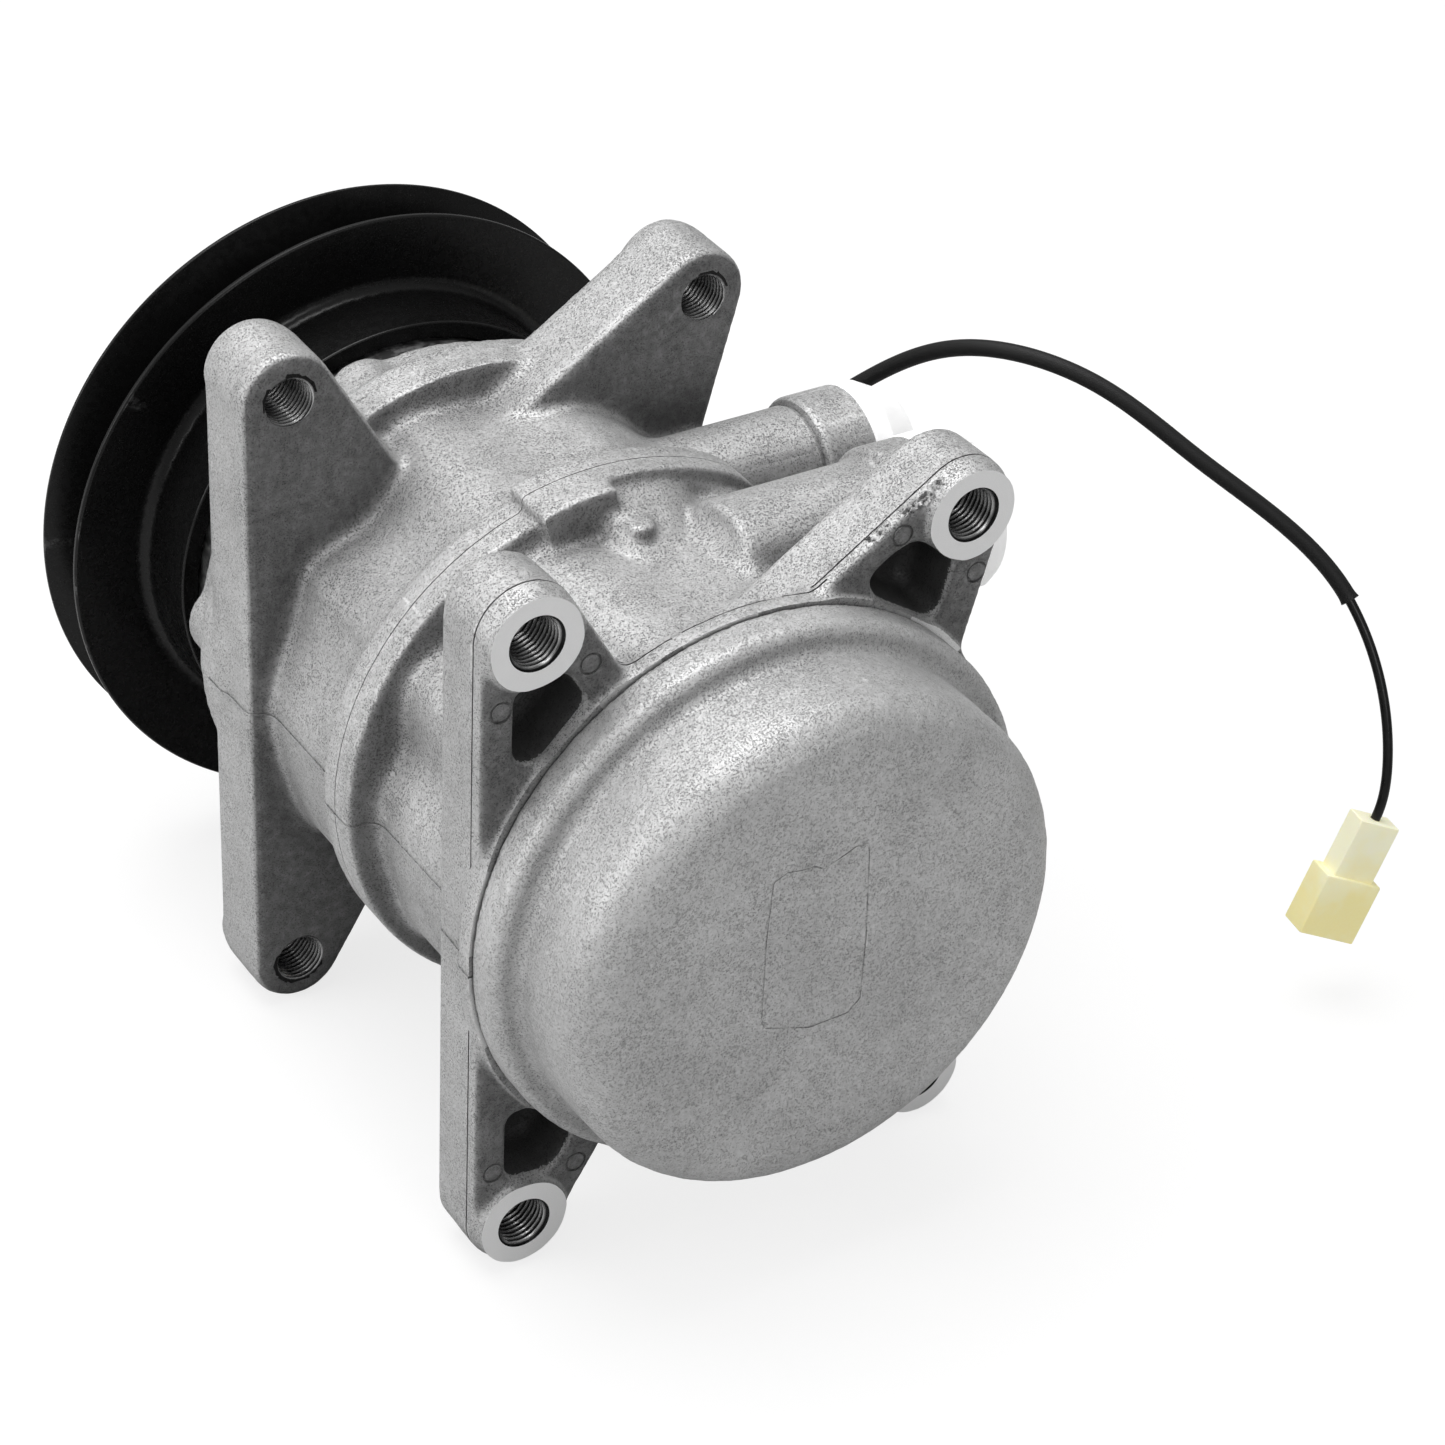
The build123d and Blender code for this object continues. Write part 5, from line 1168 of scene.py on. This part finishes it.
def finish_blocks(rear, front):
    for ob in (rear, front):
        tidy(ob, 36)
    for ob, face_y, sign, port, port_mat in ((rear, 0.0, -1, SUCTION, 3), (front, 121.5, 1, DISCHARGE, 3)):
        c, nn = polys(ob)
        paint(ob, CAST, FACED, THREAD, SUCTION_FACE if ob is rear else DISCHARGE_FACE, POCKET_SHADE, TURNED)
        u, w = np.abs(c[:, 0]) - 50.0, np.abs(c[:, 2]) - 72.0
        d = np.hypot(u, w)
        far = reach(ob)
        rules = []
        xz = c[:, [0, 2]]
        if ob is rear:
            # the pocket walls take the darkened material: painted shade
            for pk, ear in ((POCKET_L, LEFT_EAR), (flip(POCKET_L), LEFT_EAR), (POCKET_R, RIGHT_EAR), (flip(POCKET_R), RIGHT_EAR_LOW)):
                rules.append((4, inside(xz, pk, 2.6) & inside(xz, ear, -2.0) & (c[:, 1] > 3.2) & (c[:, 1] < 17.6) & (nn[:, 1] < 0.5)))
        rules.append((1, (d < 10.4) & (np.abs(c[:, 1] - face_y) < 0.06) & (nn[:, 1] * sign > 0.98)))
        rules.append((2, (far < 6.95) & (np.abs(c[:, 1] - face_y) > 0.03)))
        pr = np.hypot(c[:, 1] - port["y"], c[:, 2] - port["z"])
        rules.append((3, (pr < port["collar"] + 0.5) & (c[:, 0] > port["x1"] - 0.03) & (nn[:, 0] > 0.98)))
        rules.append((3, (pr < port["mouth"] + 0.8) & (c[:, 0] > port["x1"] - port["deep"] - 0.1)))
        rr = np.hypot(c[:, 0], c[:, 2])
        rules.append((5, (rr < 58.0) & (np.abs(nn[:, 1]) > 0.98) & ((c[:, 1] < SEAM_REAR + 0.03) | (np.abs(c[:, 1] - SEAM_MID) < 0.03) | (c[:, 1] > SEAM_FRONT - 0.03))))
        for k in range(5):
            x, z = polar(36, k)
            rules.append((5, np.hypot(c[:, 0] - x, c[:, 2] - z) < 14.6))
        assign(ob, rules)


# ------------------------------------------------------------------ pulley and clutch
def arc_slot(r0, r1, a0, a1, y0, y1):
    """Slot with round ends between two angles."""
    rm, hw = (r0 + r1) / 2, (r1 - r0) / 2
    e = math.degrees(hw / rm)
    outer = [(r1 * math.cos(math.radians(t)), r1 * math.sin(math.radians(t))) for t in np.linspace(a0 + e, a1 - e, 28)]
    inner = [(r0 * math.cos(math.radians(t)), r0 * math.sin(math.radians(t))) for t in np.linspace(a1 - e, a0 + e, 28)]

    def cap(t, flip_):
        cx, cz = rm * math.cos(math.radians(t)), rm * math.sin(math.radians(t))
        s = math.radians(t)
        out = []
        for k in range(1, 8):
            a = s + (math.pi * k / 8 if not flip_ else math.pi + math.pi * k / 8)
            out.append((cx + hw * math.cos(a), cz + hw * math.sin(a)))
        return out

    return prism(outer + cap(a1 - e, False) + inner + cap(a0 + e, True), y0, y1)


def build_pulley():
    prof = [(26.0, 150.5), (30.8, 150.5), (30.8, 174.0), (51.0, 174.0), (51.0, 148.0), (55.0, 148.0), (55.0, 165.9),
            (73.6, 163.3), (74.0, 163.7), (74.0, 164.6), (60.6, 168.6), (60.2, 169.4), (60.2, 175.2), (60.6, 176.0),
            (74.0, 180.1), (74.0, 180.8), (73.6, 181.2), (58.0, 180.0), (55.0, 180.5), (24.4, 180.5), (24.4, 172.2), (26.0, 172.2)]
    rad = [0.3, 0.3, 1.0, 1.0, 0.4, 0.5, 3.0, 0.3, 0.3, 0.35, 0.9, 0.5, 0.5, 0.9, 0.3, 0.3, 0.3, 1.5, 0.4, 0.4, 0.3, 0.2]
    ob = make("drive_pulley", *bands(rounded(prof, rad, 4), 288), None)
    slots = []
    for radius, start in ((36.5, 0), (45.0, 30)):
        for k in range(6):
            slots.append(arc_slot(radius - 1.1, radius + 1.1, start + 60 * k - 22, start + 60 * k + 22, 172.0, 182.0))
    cut(ob, join(*slots))
    tidy(ob, 30)
    c, nn = polys(ob)
    r = np.hypot(c[:, 0], c[:, 2])
    paint(ob, PAINT, FRICTION)
    assign(ob, [(1, (np.abs(c[:, 1] - 180.5) < 0.05) & (r < 55.0) & (nn[:, 1] > 0.98))])
    return ob


FRICTION = mat_machined("friction_face", 0.34, 0.30, "shaft")


def build_armature():
    prof = rounded([(29, 181), (54, 181), (54, 185), (29, 185)], [0.3, 0.3, 0.7, 0.5], 4)
    ob = make("armature_disc", *bands(prof, 224), None)
    cut(ob, join(*[arc_slot(39.4, 41.4, 120 * k + 45, 120 * k + 115, 180, 186) for k in range(3)]))
    cut(ob, join(*[rod((46.5 * math.cos(math.radians(90 + 120 * k)), 182, 46.5 * math.sin(math.radians(90 + 120 * k))),
                       (46.5 * math.cos(math.radians(90 + 120 * k)), 186, 46.5 * math.sin(math.radians(90 + 120 * k))), 2.0, None, 32) for k in range(3)]))
    tidy(ob, 30)
    return paint(ob, FRICTION)


def build_springs():
    def arm(k):
        a = math.radians(90 + 120 * k)
        u, w = (math.cos(a), math.sin(a)), (-math.sin(a), math.cos(a))
        pts = [(u[0] * r + w[0] * s, u[1] * r + w[1] * s) for r, s in ((8, -5.5), (46.5, -5.5), (46.5, 5.5), (8, 5.5))]
        return prism(hull2(pts), 185.0, 185.7)

    ob = make("leaf_spring_spider", *prism(circle(0, 0, 19, 96), 185.0, 185.7), None)
    for k in range(3):
        boolean(ob, make("arm", *arm(k), None), "UNION")
        a = math.radians(90 + 120 * k)
        boolean(ob, make("eye", *prism(circle(46.5 * math.cos(a), 46.5 * math.sin(a), 6.0, 64), 185.0, 185.7), None), "UNION")
    holes = [rod((0, 184, 0), (0, 187, 0), 11.2, None, 64)]
    for k in range(3):
        a, b = math.radians(90 + 120 * k), math.radians(30 + 120 * k)
        holes.append(rod((46.5 * math.cos(a), 184, 46.5 * math.sin(a)), (46.5 * math.cos(a), 187, 46.5 * math.sin(a)), 2.4, None, 32))
        holes.append(rod((15.4 * math.cos(b), 184, 15.4 * math.sin(b)), (15.4 * math.cos(b), 187, 15.4 * math.sin(b)), 1.8, None, 32))
    cut(ob, join(*holes))
    tidy(ob, 30, 0.12, 2, 50)
    return paint(ob, SPRING)


SPRING = mat_steel("spring_steel_skin", (0.30, 0.29, 0.28), 0.3, (0.4, 1, 3))


def build_hub():
    prof = rounded([(7.0, 168.2), (11.0, 168.2), (11.0, 185.7), (19.0, 185.7), (19.0, 187.9), (7.0, 187.9)], [0.4, 0.6, 0.1, 0.2, 0.7, 0.6], 4)
    ob = make("hub_flange", *bands(prof, 160), None)
    cut(ob, join(*[rod((15.4 * math.cos(math.radians(30 + 120 * k)), 184, 15.4 * math.sin(math.radians(30 + 120 * k))),
                       (15.4 * math.cos(math.radians(30 + 120 * k)), 189, 15.4 * math.sin(math.radians(30 + 120 * k))), 1.8, None, 32) for k in range(3)]))
    tidy(ob, 30)
    return paint(ob, PLATED)


def domed(r_shank, y0, y1, r_head, h, seg=48):
    """Rivet: shank, then a domed head."""
    p = [(0, y0), (r_shank, y0), (r_shank, y1), (r_head, y1), (r_head, y1 + h * 0.35)]
    for k in range(1, 7):
        t = k / 6
        p.append((r_head * math.cos(t * math.pi / 2) * (1 - 0.12 * t), y1 + h * (0.35 + 0.65 * math.sin(t * math.pi / 2))))
    p[-1] = (0, y1 + h)
    return bands(p, seg)


def ring_of(solid, r, start, count=3):
    v, f = solid
    out = []
    for k in range(count):
        a = math.radians(start + 360.0 / count * k)
        w = v.copy()
        w[:, 0] += r * math.cos(a)
        w[:, 2] += r * math.sin(a)
        out.append((w, f))
    return join(*out)


def build_nut():
    h = [(9.815 * math.cos(math.radians(60 * k + 30)), 9.815 * math.sin(math.radians(60 * k + 30))) for k in range(6)]
    ob = make("hub_nut_hex", *prism(hull2(h), 188.2, 194.2), None)
    cone = [(0, 187.0), (8.6, 187.9), (10.2, 189.0), (10.2, 193.2), (8.2, 194.4), (0, 194.4)]
    boolean(ob, make("cone", *bands(cone, 96), None), "INTERSECT")
    boolean(ob, make("washer", *bands([(0, 188.0), (8.9, 188.0), (8.9, 188.5), (0, 188.5)], 96), None), "UNION")
    cut(ob, bands([(0, 187), (5.0, 187), (5.0, 193.6), (5.7, 194.3), (5.7, 196), (0, 196)], 64))
    tidy(ob, 30, 0.10, 2, 50)
    return paint(ob, PLATED)


def build_shaft():
    prof = rounded([(0, 8), (8, 8), (9, 9), (9, 126), (8, 127), (8, 167.6), (7, 167.6), (7, 188.0), (0, 188)],
                   [0, 0.3, 0.3, 0.3, 0.3, 0.3, 0.2, 0.3, 0], 3)
    ob = make("shaft_turned", *bands(prof, 128), None)
    # threaded end with a centre hole
    seg, pitch, y0, y1 = 64, 1.25, 187.0, 196.0
    ys = [y0 + (y1 - y0) * i / 72 for i in range(73)]
    V = []
    for y in ys:
        for s in range(seg):
            t = (y / pitch - s / seg) % 1.0
            r = 4.35 + 0.6 * max(0.0, min(1.0, (1.0 - abs(2 * t - 1)) * 1.3 - 0.1))
            r = min(r, 4.95, 4.1 + (y1 - y) * 1.0)
            a = 2 * math.pi * s / seg
            V.append((r * math.cos(a), y, r * math.sin(a)))
    n = len(ys)
    F = [list(range(seg)), list(range((n - 1) * seg, n * seg))]
    for k in range(n - 1):
        F += [[k * seg + i, k * seg + (i + 1) % seg, (k + 1) * seg + (i + 1) % seg, (k + 1) * seg + i] for i in range(seg)]
    boolean(ob, make("thread", *tri_arrays(V, F), None), "UNION")
    cut(ob, bands([(0, 193.4), (0.9, 194.4), (2.1, 196.4), (0, 196.4)], 48))
    tidy(ob, 32)
    return paint(ob, STEEL)


# ------------------------------------------------------------------ lead, sleeve, connector, caps
def spline(points, t0, t1, step=0.5):
    """Clamped cubic through the points, with unit end tangents, sampled at sixty points between each pair of points."""
    P = np.array(points, float)
    n = len(P)
    u = np.concatenate([[0], np.cumsum(np.linalg.norm(np.diff(P, axis=0), axis=1))])
    h = np.diff(u)
    A, B = np.zeros((n, n)), np.zeros((n, 3))
    A[0, 0] = A[-1, -1] = 1
    B[0], B[-1] = np.array(t0, float) / np.linalg.norm(t0), np.array(t1, float) / np.linalg.norm(t1)
    for i in range(1, n - 1):
        A[i, i - 1], A[i, i], A[i, i + 1] = h[i], 2 * (h[i - 1] + h[i]), h[i - 1]
        B[i] = 3 * (h[i - 1] * (P[i + 1] - P[i]) / h[i] + h[i] * (P[i] - P[i - 1]) / h[i - 1])
    M = np.linalg.solve(A, B)
    out = []
    for i in range(n - 1):
        for s in np.linspace(0, 1, 60, endpoint=(i == n - 2)):
            out.append((2 * s**3 - 3 * s**2 + 1) * P[i] + (s**3 - 2 * s**2 + s) * h[i] * M[i] + (-2 * s**3 + 3 * s**2) * P[i + 1] + (s**3 - s**2) * h[i] * M[i + 1])
    return np.array(out)


def even(path, step):
    d = np.concatenate([[0], np.cumsum(np.linalg.norm(np.diff(path, axis=0), axis=1))])
    k = max(2, int(round(d[-1] / step)) + 1)
    t = np.linspace(0, d[-1], k)
    return np.stack([np.interp(t, d, path[:, i]) for i in range(3)], axis=1), t


def frames(path):
    T = np.gradient(path, axis=0)
    T /= np.linalg.norm(T, axis=1)[:, None]
    U = np.zeros_like(T)
    u = np.cross(T[0], (0.0, 0.3, 1.0))
    U[0] = u / np.linalg.norm(u)
    for i in range(1, len(T)):
        u = U[i - 1] - T[i] * (U[i - 1] @ T[i])
        U[i] = u / np.linalg.norm(u)
    return T, U, np.cross(T, U)


def tube(path, radius, seg, inner=None):
    """Tube along a path. radius is a number or an array of rings by segments; inner gives a bore."""
    n = len(path)
    _, U, W = frames(path)
    a = np.arange(seg) * 2 * math.pi / seg
    R = np.full((n, seg), radius) if np.isscalar(radius) else radius
    ring = U[:, None, :] * np.cos(a)[None, :, None] + W[:, None, :] * np.sin(a)[None, :, None]
    V = (path[:, None, :] + ring * R[:, :, None]).reshape(-1, 3)
    i, j = np.meshgrid(np.arange(n - 1), np.arange(seg), indexing="ij")
    k = (j + 1) % seg
    F = [np.stack([i * seg + j, i * seg + k, (i + 1) * seg + k, (i + 1) * seg + j], axis=-1).reshape(-1, 4)]
    if inner is None:
        V = np.concatenate([V, path[:1], path[-1:]])
        c0, c1 = n * seg, n * seg + 1
        s = np.arange(seg)
        t = (s + 1) % seg
        caps = [[c0, int(b), int(a_)] for a_, b in zip(s, t)] + [[c1, int((n - 1) * seg + a_), int((n - 1) * seg + b)] for a_, b in zip(s, t)]
        return V, [list(map(int, f)) for f in F[0]] + caps
    V2 = (path[:, None, :] + ring * inner).reshape(-1, 3)
    off = n * seg
    F.append(np.stack([off + i * seg + k, off + i * seg + j, off + (i + 1) * seg + j, off + (i + 1) * seg + k], axis=-1).reshape(-1, 4))
    s = np.arange(seg)
    t = (s + 1) % seg
    F.append(np.stack([off + s, off + t, t, s], axis=-1))
    e = (n - 1) * seg
    F.append(np.stack([e + s, e + t, off + e + t, off + e + s], axis=-1))
    return np.concatenate([V, V2]), np.concatenate(F)


SLEEVE_A, SLEEVE_B = (58.0, 144.6, 6.0), (171.2, 15.0, 7.2)
T_A, T_B = (0.95, -0.28, 0.10), (0.20, -0.66, -0.72)
C_TOP = np.array((167.6, -8.0, -37.8))
C_DOWN = np.array((-0.400, 0.0, -0.9165))
C_WIDE = np.array((0.8852, -0.2588, -0.3864))
MID_PTS = [(82.0, 134.0, 10.0), (108.0, 120.0, 28.0), (119.5, 100.0, 43.4), (137.0, 70.0, 44.0), (150.3, 48.0, 32.4)]


def build_lead():
    a = spline([(45.6, 145.6, 4.0), (52.0, 145.6, 4.6), SLEEVE_A], (1, 0, 0.02), T_A)
    b = spline([SLEEVE_A, *MID_PTS, SLEEVE_B], T_A, T_B)
    c = spline([SLEEVE_B, (171.4, -5.0, -24.6), tuple(C_TOP)], T_B, C_DOWN)
    end = C_TOP + C_DOWN * 4.0
    path = np.concatenate([a[:-1], b[:-1], c, end[None, :]])
    wire_path, _ = even(path, 0.6)
    wire = make("lead_insulated_wire", *tube(wire_path, 1.15, 40), None)
    shade(wire, 40)
    paint(wire, WIRE)
    # braided sleeve: two families of strands crossing over and under
    seg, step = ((160, 0.16))
    sp, t = even(b, step)
    ang = np.arange(seg) * 2 * math.pi / seg
    n_str, lay = 16, 2 * math.pi / 11.0
    A = n_str / 2 * (ang[None, :] + lay * t[:, None])
    B = n_str / 2 * (ang[None, :] - lay * t[:, None])
    over = np.sin(A * 1.0) * np.sin(B * 1.0)
    ra, rb = np.abs(np.cos(A)) ** 0.6, np.abs(np.cos(B)) ** 0.6
    h = np.maximum(ra * (0.75 + 0.25 * np.sign(over) * np.abs(over) ** 0.5), rb * (0.75 - 0.25 * np.sign(over) * np.abs(over) ** 0.5))
    R = 1.80 + 0.20 * h
    flare = np.clip((t - (t[-1] - 2.2)) / 2.2, 0, 1) ** 2
    R = R + flare[:, None] * (0.28 + 0.10 * np.sin(ang * 5)[None, :])
    V, F = tube(sp, R, seg, 1.32)
    sleeve = make("lead_braided_sleeve", V, F, None)
    at = sleeve.data.attributes.new("weave", "FLOAT", "POINT")
    at.data.foreach_set("value", np.concatenate([np.clip((h - 0.35) / 0.6, 0, 1).ravel(), np.zeros(len(V) - h.size)]).astype(np.float32))
    shade(sleeve, 60)
    paint(sleeve, BRAID)
    return wire, sleeve


def at_connector(solid):
    """Local (wide, down, thick) millimetres to the row frame."""
    v, f = solid
    thick = np.cross(C_DOWN, C_WIDE)
    w = C_TOP[None, :] + v[:, :1] * C_WIDE + v[:, 1:2] * C_DOWN + v[:, 2:3] * thick
    return w, f


def rect(w, t, r=0.4, steps=3):
    return hull2(round_outline([(-w / 2, -t / 2), (w / 2, -t / 2), (w / 2, t / 2), (-w / 2, t / 2)], r, steps))


UPPER = (10.8, 6.2, 14.6)
SHROUD = (15.2, 8.0, 15.3)


def build_connector():
    uw, ut, ul = UPPER
    sw, st, sl = SHROUD
    end = ul + sl
    ob = make("connector_shell", *at_connector(layered(rect(uw, ut, 0.35), [(0, 0.30), (0.12, 0.10), (0.35, 0.0), (ul + 2.0, 0.0)])), None)
    low = make("shroud", *at_connector(layered(rect(sw, st, 0.45), [(ul, 0.45), (ul + 0.15, 0.15), (ul + 0.5, 0.0), (end - 0.3, 0.0), (end - 0.05, 0.1), (end, 0.25)])), None)
    boolean(ob, low, "UNION")
    # the mating edge steps back on one side
    cut(ob, at_connector(hull([(x, y, z) for z in (-6, 6) for x, y in ((sw / 2 - 2.4, end - 0.5), (sw / 2 + 1, end - 0.5), (sw / 2 + 1, end + 1), (sw / 2 - 2.4, end + 1))])))
    cut(ob, at_connector(layered(rect(sw - 2.8, st - 2.6, 0.5), [(ul + 2.2, 0.2), (ul + 2.5, 0.0), (end - 0.5, 0.0), (end + 0.1, -0.35), (end + 2, -0.35)])))
    cut(ob, at_connector(layered(hull2(circle(0, 0, 1.32, 32)), [(-1.0, -0.5), (0.5, 0.0), (4.7, 0.0)])))
    cut(ob, at_connector(layered(rect(5.0, 2.6, 0.3), [(4.6, 0.0), (ul + 3.0, 0.0)])))
    tidy(ob, 34, 0.08, 2, 50)
    paint(ob, NYLON)
    # terminal: crimp barrel, box and blade
    v, f = join(layered(rect(4.4, 2.0, 0.6), [(4.8, 0.25), (5.2, 0.0), (9.4, 0.0), (9.6, 0.4), (11.4, 0.4), (11.6, 0.0), (16.9, 0.0)]),
                layered(rect(6.2, 0.8, 0.15), [(16.86, 0.0), (25.2, 0.0), (26.3, 0.28)]))
    term = make("connector_blade", *at_connector((v, f)), None)
    tidy(term, 30)
    paint(term, PLATED)
    return ob, term


def build_cap(name, p, lobe, flat=4.6):
    c, m = p["collar"] + 0.2, p["mouth"] - 0.05
    i = p["bore"] + 0.3
    x = p["x1"]
    top = c - (12.6 - flat) * math.tan(math.radians(28))
    mid = [(top + 1.9, x + 9.0)] if flat < 8 else []
    prof = [(0, x + 3.0), (i, x + 3.0), (i, x - 7.0), (m, x - 7.0), (m, x), (c, x), (c, x + flat)] + mid + [(top, x + 12.6), (top - 3.2, x + 12.6),
            (top - 4.0, x + 11.8), (0, x + 11.8)]
    rad = [0, 0.5, 0.3, 0.8, 0.3, 0.6, 1.6] + ([5.0] if mid else []) + [1.1, 0.5, 0.5, 0]
    ob = make(name, *port_solid(rounded(prof, rad, 6), p, 160), None)
    # three shallow grip flats and the moulding gate in the middle
    for k in range(3):
        a = math.radians(90 + 120 * k + lobe)
        u, w = (math.cos(a), math.sin(a)), (-math.sin(a), math.cos(a))
        g = hull([(x + dx, p["y"] + u[0] * r + w[0] * s, p["z"] + u[1] * r + w[1] * s)
                  for dx in (6.2, 14.0) for r in ((c if flat > 8 else c - 1.2) if dx < 7 else top - 0.7, c + 6) for s in (-2.2, 2.2)])
        cut(ob, g)
    boolean(ob, make("gate", *port_solid([(0, x + 11.0), (1.3, x + 11.0), (1.1, x + 12.1), (0, x + 12.2)], p, 32), None), "UNION")
    tidy(ob, 32, 0.15, 2, 50)
    return paint(ob, WHITE)


# ------------------------------------------------------------------ put together
rear, front = build_blocks()
finish_blocks(rear, front)
put(rear, "housing", "cast_aluminium", "rear_cylinder_block")
put(front, "housing", "cast_aluminium", "front_cylinder_block")
put(build_rear_cover(), "housing", "cast_aluminium", "rear_cover")
put(build_front_head(), "housing", "cast_aluminium", "front_head")
put(build_pulley(), "pulley", "black_paint", "pulley")
put(build_armature(), "armature", "plated_steel", "armature_plate")
put(build_springs(), "shaft", "plated_steel", "leaf_springs")
put(build_hub(), "shaft", "plated_steel", "clutch_hub")
nut = build_nut()
put(nut, "shaft", "plated_steel", "hub_nut")
put(build_shaft(), "shaft", "ground_steel", "drive_shaft")
v, f = ring_of(domed(2.0, 182.0, 186.3, 3.8, 1.4), 46.5, 90)
riv = paint(tidy(make("armature_rivet_heads", v, f, None), 40), PLATED)
put(riv, "armature", "plated_steel", "armature_rivets")
v, f = ring_of(domed(1.8, 185.0, 187.9, 3.0, 1.1), 15.4, 30)
riv = paint(tidy(make("hub_rivet_heads", v, f, None), 40), PLATED)
put(riv, "shaft", "plated_steel", "hub_rivets")
wire, sleeve = build_lead()
put(wire, "housing", "black_insulation", "lead_wire")
put(sleeve, "housing", "black_braid", "braided_sleeve")
shell, blade = build_connector()
put(shell, "housing", "natural_nylon", "connector_housing")
put(blade, "housing", "plated_steel", "connector_terminal")
put(build_cap("suction_cap_moulded", SUCTION, 15.0, 9.6), "suction_cap", "white_plastic", "suction_cap")
put(build_cap("discharge_cap_moulded", DISCHARGE, 0.0), "discharge_cap", "white_plastic", "discharge_cap")

# carried-over CAD nodes: procedural materials by slot, and small bevels on what can be seen
slots = {s["node"]: s["material_slot"] for s in frame["record"]["subparts"]}
VISIBLE = ("coil_housing", "bearing_outer_ring", "bearing_inner_ring", "through_bolts", "bearing_snap_ring", "seal_snap_ring", "coil_snap_ring", "clutch_shim")
for name, node in frame["nodes"].items():
    if node.hide_render:
        continue
    paint(node, BY_SLOT[slots[name]])
    if name in VISIBLE:
        m = node.modifiers.new("bevel", "BEVEL")
        m.width = 0.25 * MM
        m.segments = 2
        m.limit_method = "ANGLE"
        m.angle_limit = math.radians(40)

# ------------------------------------------------------------------ studio
scene = bpy.context.scene
lo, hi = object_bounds()
floor_z = lo[2] - 0.0006
bm = bmesh.new()
n = 24
grid = [[bm.verts.new((-5 + 10 * i / n, -5 + 10 * j / n, floor_z)) for j in range(n + 1)] for i in range(n + 1)]
for i in range(n):
    for j in range(n):
        bm.faces.new((grid[i][j], grid[i + 1][j], grid[i + 1][j + 1], grid[i][j + 1]))
me = bpy.data.meshes.new("floor")
bm.to_mesh(me)
bm.free()
floor = bpy.data.objects.new("floor", me)
scene.collection.objects.link(floor)
paint(floor, mat_floor())

world = bpy.data.worlds.new("studio")
scene.world = world
world.use_nodes = True
nt = world.node_tree
nt.nodes.clear()
wo = nt.nodes.new("ShaderNodeOutputWorld")
bg = nt.nodes.new("ShaderNodeBackground")
tc = nt.nodes.new("ShaderNodeTexCoord")
sp = nt.nodes.new("ShaderNodeSeparateXYZ")
nt.links.new(tc.outputs["Generated"], sp.inputs[0])


def world_math(op, a, b, clamp=False):
    m = nt.nodes.new("ShaderNodeMath")
    m.operation = op
    m.use_clamp = clamp
    for k, v in enumerate((a, b)):
        if isinstance(v, bpy.types.NodeSocket):
            nt.links.new(v, m.inputs[k])
        else:
            m.inputs[k].default_value = v
    return m.outputs[0]


up = world_math("MULTIPLY", world_math("MAXIMUM", sp.outputs["Z"], 0.0), 0.40)
side = world_math("MULTIPLY", world_math("MAXIMUM", world_math("MULTIPLY", sp.outputs["X"], -1.0), 0.0), 0.22)
far = world_math("MULTIPLY", world_math("MAXIMUM", sp.outputs["Y"], 0.0), 0.20)
glow = world_math("ADD", world_math("ADD", up, side), world_math("ADD", far, 0.12))
lp = nt.nodes.new("ShaderNodeLightPath")
cam_ray = lp.outputs["Is Camera Ray"]
level = world_math("ADD", world_math("MULTIPLY", cam_ray, 0.95), world_math("MULTIPLY", world_math("SUBTRACT", 1.0, cam_ray), glow))
nt.links.new(level, bg.inputs["Strength"])
bg.inputs["Color"].default_value = (1.0, 1.0, 1.0, 1.0)
nt.links.new(bg.outputs[0], wo.inputs[0])


def area(name, loc, target, size, power, size_y=None):
    d = bpy.data.lights.new(name, "AREA")
    d.shape = "RECTANGLE"
    d.size, d.size_y = size, size_y or size
    d.energy = power
    o = bpy.data.objects.new(name, d)
    o.location = loc
    o.rotation_mode = "QUATERNION"
    o.rotation_quaternion = (Vector(target) - Vector(loc)).to_track_quat("-Z", "Y")
    scene.collection.objects.link(o)
    return o


area("top_softbox", (-0.10, 0.30, 1.25), (0, 0.08, 0), 1.0, 13.0)
area("left_softbox", (-1.20, 0.35, 0.45), (0, 0.08, 0), 0.6, 5.4)
area("camera_fill", (-0.10, -1.25, 0.75), (0, 0.0, 0), 0.5, 3.4)

cam_data = bpy.data.cameras.new("photo_camera")
cam = bpy.data.objects.new("photo_camera", cam_data)
scene.collection.objects.link(cam)
cam_data.sensor_width = 36.0
cam_data.lens = 3845.7 * 36.0 / 1445.0
cam_data.clip_start, cam_data.clip_end = 0.01, 50.0
right, down, fwd = Vector((0.846507, -0.530325, 0.046697)), Vector((-0.266276, -0.497715, -0.825456)), Vector((0.461002, 0.686320, -0.562532))
cam.matrix_world = Matrix(((right.x, -down.x, -fwd.x, -0.356409), (right.y, -down.y, -fwd.y, -0.519629), (right.z, -down.z, -fwd.z, 0.466357), (0, 0, 0, 1)))
scene.camera = cam
scene.view_settings.view_transform = "Standard"
